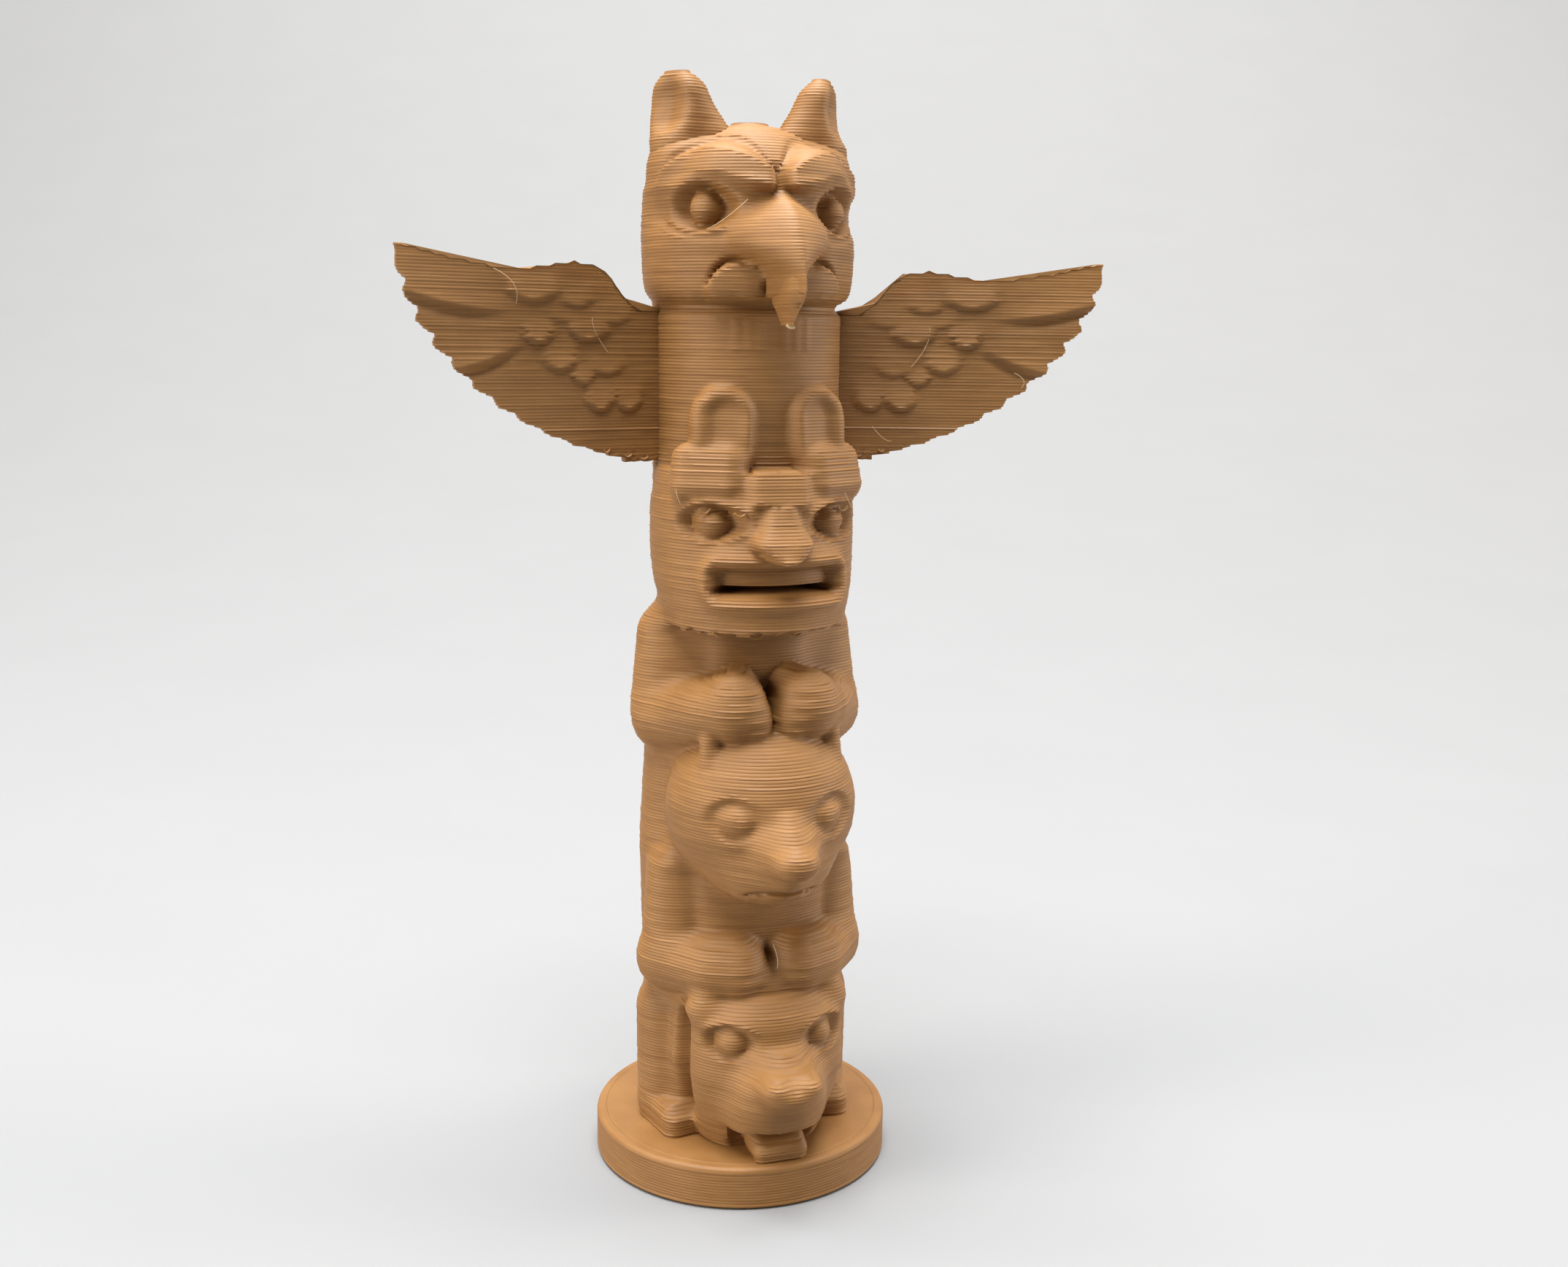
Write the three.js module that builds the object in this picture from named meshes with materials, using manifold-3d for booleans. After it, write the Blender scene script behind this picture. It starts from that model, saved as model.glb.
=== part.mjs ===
// Totem pole: a small one-piece carving on a round base. Millimetres, +Z up.
// The pole's axis is X = Y = 0, it faces -Y, and X = 0 is its plane of symmetry.
// From the top: an eagle's head with two ears and a hooked beak, its chest with two spread wings, a
// mask-faced figure that folds its arms over the head of a bear, and the bear, that folds its arms
// over the head of a second bear, whose tongue reaches the base.
import * as THREE from 'three';
import { ParametricGeometry } from 'three/addons/geometries/ParametricGeometry.js';
import { mergeVertices } from 'three/addons/utils/BufferGeometryUtils.js';
import Module from 'manifold-3d';

const BASE_RADIUS = 13.83;
const BASE_HEIGHT = 3.95;
const BASE_CHAMFER = 0.35;
const POLE_TOP = 95.05; // crown of the eagle's head between the ears
const CROWN_EDGE = 94.6; // above this the crown is nearly flat
const TRUNK_DEEP = 8.0; // half the trunk's depth, front to back
const TRUNK_SHIFT = 0.7; // the trunk's own centre lies this far behind the axis

const HEAD_FLOOR = 79.7; // underside of the eagle's head
const HEAD_HALF_WIDTH = 9.5;
const BEAK_REACH = 15.5;
const BEAK_HALF_WIDTH = 4.7;
const HOOK_TIP = 77.4;
const EAR_FOOT = [6.6, 0.2]; // upright line inside each ear of the eagle
const EAR_TURN = 62; // an ear's hollow face looks this far round from the front

const WING_ROOT = 8.0; // where a wing starts, inside the chest
const WING_NOTCH = 9.8; // foot of the slope from the chest up to the shoulder
const WING_NOTCH_HEIGHT = 79.0;
const WING_SHOULDER = 16.0;
const WING_SHOULDER_HEIGHT = 82.95;
const WING_DIP = 21.5; // low place of the top edge
const WING_DIP_HEIGHT = 82.3;
const WING_SPAN = 31.4;
const WING_TIP_HEIGHT = 83.9;
const WING_DROP = 17.9; // from the tip down to the lowest feathers
const WING_ROUND = 1.8; // exponent of the lower edge's oval, 2 is an ellipse
const WING_SWEEP = 0.29; // forward lean per millimetre of span
const WING_ROOT_Y = -0.7;
const WING_THICK_ROOT = 1.5;
const WING_THICK_TIP = 1.1;
const FEATHERS = 9; // feather ends along the lower edge
const FEATHER_DEPTH = 0.45;

const MASK_CHIN = 51.5;
const MASK_HALF_WIDTH = 9.2;
const MASK_LIP_LOW = 54.95; // lower and upper edge of the mask's open mouth
const MASK_LIP_HIGH = 57.25;
const MASK_ARC = 0.178; // millimetres along the mask's face for each degree of turn
const MASK_BROW = 62.4; // underside of the mask's forehead
const MASK_BROW_TOP = 67.6;
const MASK_EAR_LEAN = -7; // degrees that the mask's ears lean out towards their feet
const MASK_EAR_TURN = 24;
const SHOULDER = [7.35, 0.5, 50.2];
const ELBOW = [7.4, -0.6, 42.75];
const HAND = [3.35, -7.4, 44.7];
const HAND_FLOOR = 40.9; // where the hands rest on the bear's head

const BEAR_HEAD = [0, -4.7, 35.3];
const BEAR_HEAD_RADIUS = 8.72;
const BEAR_CHIN = 28.3;
const LOWER_SHOULDER = [6.9, -2.2, 29.0];
const LOWER_ELBOW = [7.6, -2.3, 20.4];
const LOWER_HAND = [2.9, -7.2, 20.5];

const CUB_HALF_WIDTH = 7.7;
const CUB_CENTRE = -5.2;
const CUB_CROWN = 18.2; // where the bear's arms rest on the second bear's head
const CUB_LIP = 6.8;
const LEG = [7.3, -0.2];
const LEG_RADIUS = 3.0;

// eyes, each a pointed oval socket with a ball in it: turn from the front in degrees and height, half size
// of the socket, half size of the ball, how deep the one and how full the other
const EAGLE_EYE = { at: [42.5, 87.4], socket: [21, 2.1], ball: [9.6, 1.45], depth: 1.7, bulge: 1.5 };
const MASK_EYE = { at: [36.5, 61.1], socket: [20, 1.75], ball: [9.5, 1.35], depth: 1.35, bulge: 1.25 };
const BEAR_EYE = { at: [20.3, 35.7], socket: [10.5, 2.1], ball: [5.4, 1.4], depth: 1.2, bulge: 1.25 };
const CUB_EYE = { at: [22.3, 14.9], socket: [11.5, 1.85], ball: [6, 1.3], depth: 1.15, bulge: 1.3 };

const POLE_COLUMNS = 44; // facets round the pole, closer at the front
const CLOSE_STEPS = 70; // steps taken inwards to meet the surface
const MATERIAL = { color: 0xb98a5a, roughness: 0.5, metalness: 0.0 }; // tan printed plastic

// ---- the forms: each gives the distance from a point to one rounded shape ----
const rad = THREE.MathUtils.degToRad;
const clamp = THREE.MathUtils.clamp;

function turned(p, at, { yaw = 0, pitch = 0 } = {}) {
  const [x0, y0, z] = [p[0] - at[0], p[1] - at[1], p[2] - at[2]];
  const [c, s] = [Math.cos(rad(yaw)), Math.sin(rad(yaw))];
  const [x, y] = [c * x0 + s * y0, -s * x0 + c * y0];
  const [cp, sp] = [Math.cos(rad(pitch)), Math.sin(rad(pitch))];
  return [x, cp * y + sp * z, -sp * y + cp * z];
}

function rounded(q, w, edge) {
  return Math.hypot(Math.max(q, 0), Math.max(w, 0)) + Math.min(Math.max(q, w), 0) - edge;
}

function oval(x, y, a, b) {
  const k0 = Math.hypot(x / a, y / b);
  const k1 = Math.hypot(x / (a * a), y / (b * b)) + 1e-9;
  return (k0 * (k0 - 1)) / k1;
}

function table(z, heights, values) {
  let i = 1;
  while (i < heights.length - 1 && z > heights[i]) i++;
  const t = clamp((z - heights[i - 1]) / (heights[i] - heights[i - 1]), 0, 1);
  return values[i - 1] + (values[i] - values[i - 1]) * t;
}

// an ellipsoid
function egg(at, half, how = {}) {
  const reach = how.pitch ? Math.max(...half) : half[2];
  const far = (p) => {
    const q = turned(p, at, how);
    const k0 = Math.hypot(q[0] / half[0], q[1] / half[1], q[2] / half[2]);
    const k1 = Math.hypot(q[0] / half[0] ** 2, q[1] / half[1] ** 2, q[2] / half[2] ** 2) + 1e-9;
    return (k0 * (k0 - 1)) / k1;
  };
  return { far, low: at[2] - reach, high: at[2] + reach, ...how };
}

// a round bar from a to b, r[0] thick at a and r[1] at b
function limb(a, b, r, how = {}) {
  const d = [b[0] - a[0], b[1] - a[1], b[2] - a[2]];
  const length2 = d[0] ** 2 + d[1] ** 2 + d[2] ** 2;
  const far = (p) => {
    const q = [p[0] - a[0], p[1] - a[1], p[2] - a[2]];
    const t = clamp((q[0] * d[0] + q[1] * d[1] + q[2] * d[2]) / length2, 0, 1);
    return Math.hypot(q[0] - t * d[0], q[1] - t * d[1], q[2] - t * d[2]) - (r[0] + (r[1] - r[0]) * t);
  };
  const most = Math.max(...r);
  return { far, low: Math.min(a[2], b[2]) - most, high: Math.max(a[2], b[2]) + most, ...how };
}

// a box with rounded edges
function block(at, half, edge, how = {}) {
  const reach = how.pitch ? Math.max(...half) : half[2];
  const far = (p) => {
    const q = turned(p, at, how).map((v, i) => Math.abs(v) - half[i] + edge);
    const out = Math.hypot(Math.max(q[0], 0), Math.max(q[1], 0), Math.max(q[2], 0));
    return out + Math.min(Math.max(...q), 0) - edge;
  };
  return { far, low: at[2] - reach, high: at[2] + reach, ...how };
}

// an upright slab with half-round ends: half is its width, depth and the straight part
function tab(at, half, edge, how = {}) {
  const far = (p) => {
    const q = turned(p, at, how);
    const side = Math.hypot(q[0], Math.max(Math.abs(q[2]) - half[2], 0)) - half[0] + edge;
    return rounded(side, Math.abs(q[1]) - half[1] + edge, edge);
  };
  const reach = half[0] + half[2] + half[1] * 0.3;
  return { far, low: at[2] - reach, high: at[2] + reach, ...how };
}

// an upright oval column: its half width, half depth and centre are read at each height
function post(heights, wide, deep, centre, edge, how = {}) {
  const [low, high] = [heights[0], heights[heights.length - 1]];
  const far = (p) => {
    const z = clamp(p[2], low, high);
    const side = oval(p[0], p[1] - table(z, heights, centre),
      table(z, heights, wide), table(z, heights, deep)) + edge;
    return rounded(side, Math.max(low - p[2], p[2] - high) + edge, edge);
  };
  return { far, low, high, ...how };
}

// a ridge like a ship's bow, ahead of y = -foot: |x / wide|^power + (forward / reach)^power = 1 at each height
function prow(heights, reach, wide, foot, power, how = {}) {
  const [low, high] = [heights[0], heights[heights.length - 1]];
  const far = (p) => {
    const z = clamp(p[2], low, high);
    const w = table(z, heights, wide);
    const out = table(z, heights, reach) - foot;
    const bow = (Math.abs(p[0]) / w) ** power + (Math.max(-p[1] - foot, 0) / out) ** power;
    const side = Math.max(((bow ** (1 / power) - 1) * w * out) / Math.hypot(w, out), p[1] + foot);
    return rounded(side + 0.3, Math.max(low - p[2], p[2] - high) + 0.3, 0.3);
  };
  return { far, low, high, ...how };
}

function even(heights, value) {
  return heights.map(() => value);
}

const TRUNK_HEIGHTS = [3, 17, 31, 40, 45, 50, 54, 58, 80.5];
const trunk = [
  post(TRUNK_HEIGHTS, [9.0, 9.3, 9.7, 9.2, 8.6, 8.0, 7.8, 8.4, 8.5], even(TRUNK_HEIGHTS, TRUNK_DEEP),
    even(TRUNK_HEIGHTS, TRUNK_SHIFT), 0.2, { blend: 0.01 }),
];

const eagleHead = [
  // skull and crown
  post([HEAD_FLOOR, 81.5, 84, 89.6], [HEAD_HALF_WIDTH - 0.2, HEAD_HALF_WIDTH, HEAD_HALF_WIDTH, 9.4],
    [9.1, 9.2, 9.2, 9.2], [0.3, 0.3, 0.3, 0.3], 1.1, { blend: 0.3 }),
  egg([0, 0.3, 86.3], [HEAD_HALF_WIDTH, 9.3, POLE_TOP - 86.3], { blend: 0.8 }),
  egg([6.1, 0.2, 91.3], [3.1, 3.6, 3.6], { blend: 1.4 }),
  // beak, as far down as the chin
  prow([80.2, 81.5, 82.3, 83, 84.5, 86.2, 87.2, 88.1, 88.8],
    [15.4, BEAK_REACH, 15.3, 15.0, 14.3, 13.2, 11.9, 10.2, 8.4],
    [1.7, 2.1, 2.7, 3.8, BEAK_HALF_WIDTH, 4.2, 3.2, 2.2, 1.0], 5.5, 1.6, { blend: 0.7 }),
];

const maskFigure = [
  post([MASK_CHIN, 53.8, 55.5, 58, 62, 65.4], [8.0, 8.6, 9.0, MASK_HALF_WIDTH, MASK_HALF_WIDTH, 8.6],
    [7.6, 8.0, 8.4, 8.8, 8.8, 8.2], [-2.5, -2.3, -1.9, -1.5, -1.5, -1.2], 0.5, { blend: 0.3 }),
  // arched ears with a hollow in each
  tab([4.15, -6.1, 69.65], [2.8, 1.7, 0.2], 1.0, { blend: 0.5, yaw: MASK_EAR_TURN, pitch: MASK_EAR_LEAN }),
  tab([4.15, -6.1, 67.8], [2.8, 1.7, 0.2], 1.0, { blend: 0.5, yaw: MASK_EAR_TURN, pitch: MASK_EAR_LEAN }),
  tab([4.55, -8.2, 68.9], [1.4, 0.95, 1.0], 0.6,
    { blend: 0.9, cut: true, yaw: MASK_EAR_TURN, pitch: MASK_EAR_LEAN }),
  // forehead: a block under each ear and a lower one between them
  block([4.6, -4.9, 64.75], [3.3, 3.5, 2.6], 1.5, { blend: 0.4, yaw: 30, pitch: -14 }),
  block([0, -8.0, 63.75], [2.6, 2.3, 1.7], 0.8, { blend: 0.4, pitch: -16 }),
  // nose
  prow([57.9, 58.6, 59.3, 60, 61, 62.6], [11.9, 12.9, 12.9, 12.2, 11.4, 10.7], [2.2, 3.4, 3.7, 3.0, 2.2, 1.4],
    8.0, 2.6, { blend: 0.15 }),
  // upper arm, forearm and hand
  limb(SHOULDER, [7.7, 0.1, 44.5], [2.75, 3.0], { blend: 0.8 }),
  limb(ELBOW, [4.8, -5.6, 44.1], [3.45, 3.1], { blend: 0.8 }),
  egg(HAND, [3.1, 3.05, 3.3], { blend: 0.7 }),
  egg([1.5, -8.4, 43.6], [1.5, 1.6, 2.0], { blend: 0.6 }),
];

const bear = [
  // head, jaw and ears
  egg(BEAR_HEAD, [BEAR_HEAD_RADIUS, BEAR_HEAD_RADIUS, 8.4], { blend: 0.4 }),
  egg([0, -8.4, 30.6], [5.2, 5.0, 3.6], { blend: 1.6 }),
  limb([5.7, -8.0, 40.0], [5.7, -7.8, 42.2], [0.95, 0.8], { blend: 0.5 }),
  // snout
  prow([28.4, 29.4, 30.2, 31.2, 32.2, 33.2, 34.2, 35.2, 36.5],
    [13.0, 13.9, 14.8, 15.7, 16.3, 16.5, 16.0, 15.0, 13.5], [3.0, 3.5, 3.7, 3.9, 4.0, 4.0, 3.7, 3.2, 2.3],
    9.0, 1.7, { blend: 0.6 }),
  // upper arm, forearm, hand and the place where the hands meet
  limb(LOWER_SHOULDER, [7.2, -2.5, 22.0], [2.9, 3.1], { blend: 0.5 }),
  limb(LOWER_ELBOW, [4.6, -6.4, 20.6], [3.2, 3.1], { blend: 0.8 }),
  egg(LOWER_HAND, [3.0, 3.1, 3.2], { blend: 0.7 }),
  egg([0, -7.4, 19.2], [2.4, 2.6, 2.0], { blend: 0.9 }),
];

const CUB_HEIGHTS = [2.5, 6, 8.5, 11, 15.5, 18.6];
const secondBear = [
  post(CUB_HEIGHTS, [5.3, 6.3, 7.2, CUB_HALF_WIDTH, CUB_HALF_WIDTH, 7.2], [5.0, 5.8, 6.6, 7.1, 7.1, 6.8],
    even(CUB_HEIGHTS, CUB_CENTRE), 2.4, { blend: 0.4 }),
  egg([5.9, -7.9, 17.2], [1.7, 1.6, 1.9], { blend: 1.0 }),
  // muzzle, nose and its two lobes
  prow([CUB_LIP, 7.6, 9, 10.5, 11.5, 12.6, 13.4, 14.4], [13.6, 14.0, 14.8, 15.6, 15.9, 15.6, 14.8, 13.2],
    [4.9, 5.1, 5.1, 4.9, 4.6, 4.0, 3.3, 2.3], 8.0, 2.0, { blend: 0.9 }),
  block([0, -15.2, 11.75], [2.55, 1.8, 1.15], 0.9, { blend: 0.6 }),
  egg([1.45, -15.5, 12.4], [1.15, 1.5, 0.75], { blend: 0.4 }),
  // open mouth and the tongue in it
  block([0, -12.6, CUB_LIP - 1.6], [4.0, 3.6, 1.6], 0.4, { blend: 0.3, cut: true }),
  block([0, -10.2, 5.1], [2.05, 2.9, 2.3], 0.5, { blend: 0.3, pitch: -14 }),
  // leg and foot
  limb([...LEG, 14.8], [LEG[0] - 0.1, LEG[1], 5.5], [LEG_RADIUS, LEG_RADIUS], { blend: 0.5 }),
  block([7.4, -2.4, 4.9], [2.15, 3.5, 1.9], 1.2, { blend: 0.4, yaw: -12 }),
];

const pole = [...trunk, ...eagleHead, ...maskFigure, ...bear, ...secondBear];

const HOOK_HEIGHTS = [HOOK_TIP, 77.8, 78.4, 79.2, 80, 81, 82];
const hook = [
  post(HOOK_HEIGHTS, [0.35, 0.55, 0.8, 1.0, 1.2, 1.4, 1.5], [0.4, 0.75, 1.15, 1.5, 1.8, 2.0, 2.0],
    [-11.7, -11.95, -12.35, -12.95, -13.35, -13.5, -13.4], 0.1, { blend: 0.01 }),
];

const ear = [
  tab([...EAR_FOOT, 95.9], [2.6, 1.4, 0.6], 1.0, { blend: 0.6, yaw: EAR_TURN }),
  limb([7.2, 1.0, 97.6], [5.9, -0.9, 97.4], [1.25, 1.2], { blend: 1.2 }),
  limb([6.5, 0.2, 95.5], [6.3, 0.2, 91.0], [2.6, 2.6], { blend: 0.6 }),
  limb([5.2, -0.5, 96.9], [3.7, -0.8, 93.7], [1.1, 1.7], { blend: 1.0 }),
  egg([8.2, -0.72, 96.1], [1.9, 1.45, 2.3], { blend: 1.0, cut: true, yaw: EAR_TURN }),
];

// ---- carving: how far the skin is raised or sunk, by its turn from the front (degrees) and its height ----
// 0 at from, 1 at to, eased at both ends
function rise(value, from, to) {
  const t = clamp((value - from) / (to - from), 0, 1);
  return t * t * (3 - 2 * t);
}

function eye(turn, z, { at, socket, ball, depth, bulge }) {
  const [across, up] = [turn - at[0], z - at[1]];
  const inside = 1 - Math.abs(across / socket[0]) ** 1.5 - (up / socket[1]) ** 2;
  const dome = 1 - (across / ball[0]) ** 2 - (up / ball[1]) ** 2;
  return bulge * Math.sqrt(Math.max(dome, 0)) - depth * rise(inside, 0, 0.55);
}

// the eagle's brow: a padded leaf from the notch over the beak to the temple
function brow(turn, z) {
  const upper = table(turn, [0, 3, 6, 12, 20, 32, 46, 60, 72, 79],
    [89.8, 90.4, 91.0, 91.8, 92.4, 92.8, 92.9, 92.4, 91.2, 89.4]);
  const lower = table(turn, [0, 8, 16, 24, 34, 46, 60, 70, 79],
    [88.9, 88.4, 88.4, 88.8, 89.2, 89.2, 88.6, 88.1, 88.0]);
  const t = (z - lower) / Math.max(upper - lower, 0.2);
  const ends = Math.sqrt(clamp((turn - 1) / 5, 0, 1) * clamp((79 - turn) / 8, 0, 1));
  const pad = Math.sqrt(clamp(t / 0.16, 0, 1) * clamp((1 - t) / 0.1, 0, 1));
  return { t, height: (1.35 - 0.9 * rise(turn, 34, 76)) * pad * ends };
}

// the pad under the drooping line of the eagle's mouth
function jowl(turn, z) {
  const line = table(turn, [5, 9, 14, 24, 31, 36, 41], [80.8, 82.0, 82.7, 83.0, 82.8, 82.2, 81.0]);
  const across = clamp((42 - turn) / 4, 0, 1) * clamp((turn - 4) / 3, 0, 1);
  return 0.75 * Math.sqrt(clamp((line - z) / 0.5, 0, 1) * across) * rise(z, HEAD_FLOOR - 0.2, HEAD_FLOOR + 0.3);
}

// the mask's mouth: a raised lip round a sunk opening
function mouth(turn, z) {
  const arc = turn * MASK_ARC;
  const middle = (MASK_LIP_LOW + MASK_LIP_HIGH) / 2;
  const side = Math.hypot(Math.max(arc - 5.3, 0), Math.max(Math.abs(z - middle) - 0.45, 0)) - 0.7;
  return 0.6 * Math.exp(-(((side - 0.6) / 0.55) ** 2)) - 1.2 * rise(-side, 0, 0.25);
}

function carving(turn, z) {
  if (z > HEAD_FLOOR) {
    const { t, height } = brow(turn, z);
    return height + jowl(turn, z) + (t > 0.12 ? 0 : eye(turn, z, EAGLE_EYE));
  }
  if (z > MASK_CHIN && z < MASK_BROW) return eye(turn, z, MASK_EYE) + mouth(turn, z);
  if (z > BEAR_CHIN && z < HAND_FLOOR) return eye(turn, z, BEAR_EYE);
  if (z > CUB_LIP && z < CUB_CROWN) return eye(turn, z, CUB_EYE);
  return 0;
}

// ---- one skin over a list of forms ----
const FAR = 1000;

// the shorter of two distances, with the corner between them filled over a width k
function joined(a, b, k) {
  const h = Math.max(k - Math.abs(a - b), 0) / k;
  return Math.min(a, b) - h * h * k * 0.25;
}

// distance to the whole list, each form added or cut in turn, the -X half a mirror of the +X half
function distance(forms, x, y, z) {
  let d = FAR;
  for (const form of forms) {
    if (z < form.low - form.blend - 0.3 || z > form.high + form.blend + 0.3) continue;
    const q = form.far([Math.abs(x), y, z]);
    d = form.cut ? -joined(-d, q, form.blend) : joined(d, q, form.blend);
  }
  return d;
}

// how far out the surface lies from the upright line at centre, in direction angle, at height z
function surfaceRadius(forms, centre, angle, z, start) {
  const [sx, sy] = [Math.sin(angle), -Math.cos(angle)];
  let r = start;
  for (let i = 0; i < CLOSE_STEPS; i++) {
    r = Math.max(r - 0.85 * distance(forms, centre[0] + r * sx, centre[1] + r * sy, z), 0.02);
  }
  return r;
}

// a closed skin: rings of points round an upright line, one at each height, closed on that line at both ends
function skin(forms, centre, heights, angles, start, relief = () => 0) {
  const rows = heights.length + 1;
  const place = (u, v, target) => {
    const angle = angles[Math.round(u * (angles.length - 1)) % (angles.length - 1)];
    const row = Math.round(v * rows);
    const z = heights[clamp(row - 1, 0, heights.length - 1)];
    const turn = Math.abs(THREE.MathUtils.radToDeg(angle));
    const surface = surfaceRadius(forms, centre, angle, z, start) + relief(turn, z);
    const r = row === 0 || row === rows ? 0 : surface;
    target.set(centre[0] + r * Math.sin(angle), centre[1] - r * Math.cos(angle), z);
  };
  return new ParametricGeometry(place, angles.length - 1, rows);
}

// heights from the first ledge to the last, with a pair of rows at each ledge; each ledge is its height and
// the tallest row above it
function ledgeRows(ledges, lip = 0.06) {
  const heights = [];
  for (let i = 0; i + 1 < ledges.length; i++) {
    const step = ledges[i][1];
    const [a, b] = [ledges[i][0] + (i ? lip : 0), ledges[i + 1][0] - (i + 2 < ledges.length ? lip : 0)];
    const count = Math.max(1, Math.round((b - a) / step));
    for (let j = 0; j <= count; j++) heights.push(a + ((b - a) * j) / count);
  }
  return heights;
}

// angles all the way round, packed by a density of 1 at the back that rises to 1 + crowd over the front
function frontAngles(count, crowd = 3, fine = 2880) {
  const shares = [0];
  for (let i = 1; i <= fine; i++) {
    const turn = Math.abs(-180 + (360 * (i - 0.5)) / fine);
    shares.push(shares[i - 1] + 1 + crowd * rise(turn, 112, 72));
  }
  const whole = shares[fine];
  return Array.from({ length: count + 1 }, (_, i) => {
    const place = Math.max(shares.findIndex((share) => share >= (whole * i) / count - 1e-9), 0);
    return rad(-180 + (360 * place) / fine);
  });
}

function evenAngles(count) {
  return Array.from({ length: count + 1 }, (_, i) => -Math.PI + (2 * Math.PI * i) / count);
}

// ---- solids ----
const wasm = await Module();
wasm.setup();

function triangles(geometry) {
  geometry.deleteAttribute('normal');
  geometry.deleteAttribute('uv');
  const merged = mergeVertices(geometry, 1e-4);
  const p = merged.attributes.position;
  const kept = [];
  let volume = 0;
  const [a, b, c] = [new THREE.Vector3(), new THREE.Vector3(), new THREE.Vector3()];
  for (let i = 0; i < merged.index.count; i += 3) {
    const t = [merged.index.getX(i), merged.index.getX(i + 1), merged.index.getX(i + 2)];
    if (t[0] === t[1] || t[1] === t[2] || t[2] === t[0]) continue;
    kept.push(t);
    a.fromBufferAttribute(p, t[0]);
    b.fromBufferAttribute(p, t[1]);
    c.fromBufferAttribute(p, t[2]);
    volume += a.dot(b.cross(c));
  }
  const outward = volume > 0 ? kept : kept.map(([i, j, k]) => [i, k, j]);
  return { vertProperties: new Float32Array(p.array), triVerts: new Uint32Array(outward.flat()) };
}

function solid(geometry) {
  return new wasm.Manifold(new wasm.Mesh({ numProp: 3, ...triangles(geometry) }));
}

function mirrored(geometry) {
  return geometry.clone().applyMatrix4(new THREE.Matrix4().makeScale(-1, 1, 1));
}

function baseDisc() {
  const [r, h, c] = [BASE_RADIUS, BASE_HEIGHT, BASE_CHAMFER];
  const profile = [[0, 0], [r - c, 0], [r, c], [r, h - c], [r - c, h], [0, h]];
  const disc = new THREE.LatheGeometry(profile.map(([x, y]) => new THREE.Vector2(x, y)), 72);
  return disc.rotateX(Math.PI / 2);
}

// height of a wing's top edge: up from the notch to the shoulder, a shallow dip, up again to the tip
function wingTop(x) {
  const spans = [WING_ROOT, WING_NOTCH, 11.8, 13.0, 14.2, WING_SHOULDER, 18.3, WING_DIP, 25.5, 28.5, WING_SPAN];
  const levels = [WING_NOTCH_HEIGHT, WING_NOTCH_HEIGHT, 80.3, 81.8, 82.7, WING_SHOULDER_HEIGHT,
    82.6, WING_DIP_HEIGHT, 82.6, 83.4, WING_TIP_HEIGHT];
  return table(x, spans, levels);
}

// the lower edge, from the tip (t = 0) back to the chest (t = 1): an oval, drawn in between feather ends
function wingLower(t) {
  const turn = (t * Math.PI) / 2;
  const power = 2 / WING_ROUND;
  const bite = FEATHER_DEPTH * Math.abs(Math.sin(Math.PI * FEATHERS * t)) * Math.min(1, t * 6);
  const out = (WING_SPAN - WING_ROOT) * Math.cos(turn) ** power;
  const down = WING_DROP * Math.sin(turn) ** power;
  return [WING_ROOT + out + bite * 0.7 * Math.cos(turn), WING_TIP_HEIGHT - down - bite * Math.sin(turn) + 0.25];
}

function wing() {
  const points = [];
  const [along, below] = [20, 36];
  for (let i = 0; i <= along; i++) {
    const x = WING_ROOT + ((WING_SPAN - WING_ROOT) * i) / along;
    points.push([x, wingTop(x)]);
  }
  for (let i = 1; i <= below; i++) points.push(wingLower(i / below));
  const outline = new THREE.Shape(points.map(([x, z]) => new THREE.Vector2(x, z)));
  const plate = new THREE.ExtrudeGeometry(outline, { depth: 1, bevelEnabled: false, curveSegments: 1 });
  const p = plate.attributes.position;
  for (let i = 0; i < p.count; i++) {
    const [x, z, side] = [p.getX(i), p.getY(i), p.getZ(i) - 0.5];
    const t = (x - WING_ROOT) / (WING_SPAN - WING_ROOT);
    const thick = WING_THICK_ROOT + (WING_THICK_TIP - WING_THICK_ROOT) * t;
    p.setXYZ(i, x, WING_ROOT_Y - WING_SWEEP * (x - WING_NOTCH) + side * thick, z);
  }
  return plate;
}

const poleLedges = [
  [3, 1.9], [CUB_LIP, 1.2], [CUB_CROWN, 1.7], [BEAR_CHIN, 1.2], [HAND_FLOOR, 1.75], [MASK_CHIN, 1.2],
  [MASK_LIP_LOW, 1.15], [MASK_LIP_HIGH, 0.9], [MASK_BROW, 1.3], [MASK_BROW_TOP, 2.0],
  [HEAD_FLOOR, 0.85], [CROWN_EDGE],
];
const poleHeights = [...ledgeRows(poleLedges), CROWN_EDGE + 0.25, POLE_TOP - 0.06];
const earHeights = [91.2, 93.2, 94.6, 95.6, 96.6, 97.5, 98.2, 98.7, 98.95];
const hookHeights = [HOOK_TIP + 0.05, 77.7, 78.3, 79.0, 79.8, 80.7, 81.6];

const earSkin = skin(ear, EAR_FOOT, earHeights, evenAngles(18), 7);
const wingPlate = wing();
const pieces = [
  skin(pole, [0, 0], poleHeights, frontAngles(POLE_COLUMNS), 19, carving),
  skin(hook, [0, -13.0], hookHeights, evenAngles(12), 5),
  earSkin,
  mirrored(earSkin),
  wingPlate,
  mirrored(wingPlate),
];
const whole = pieces.reduce((sum, piece) => sum.add(solid(piece)), solid(baseDisc()));

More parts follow.
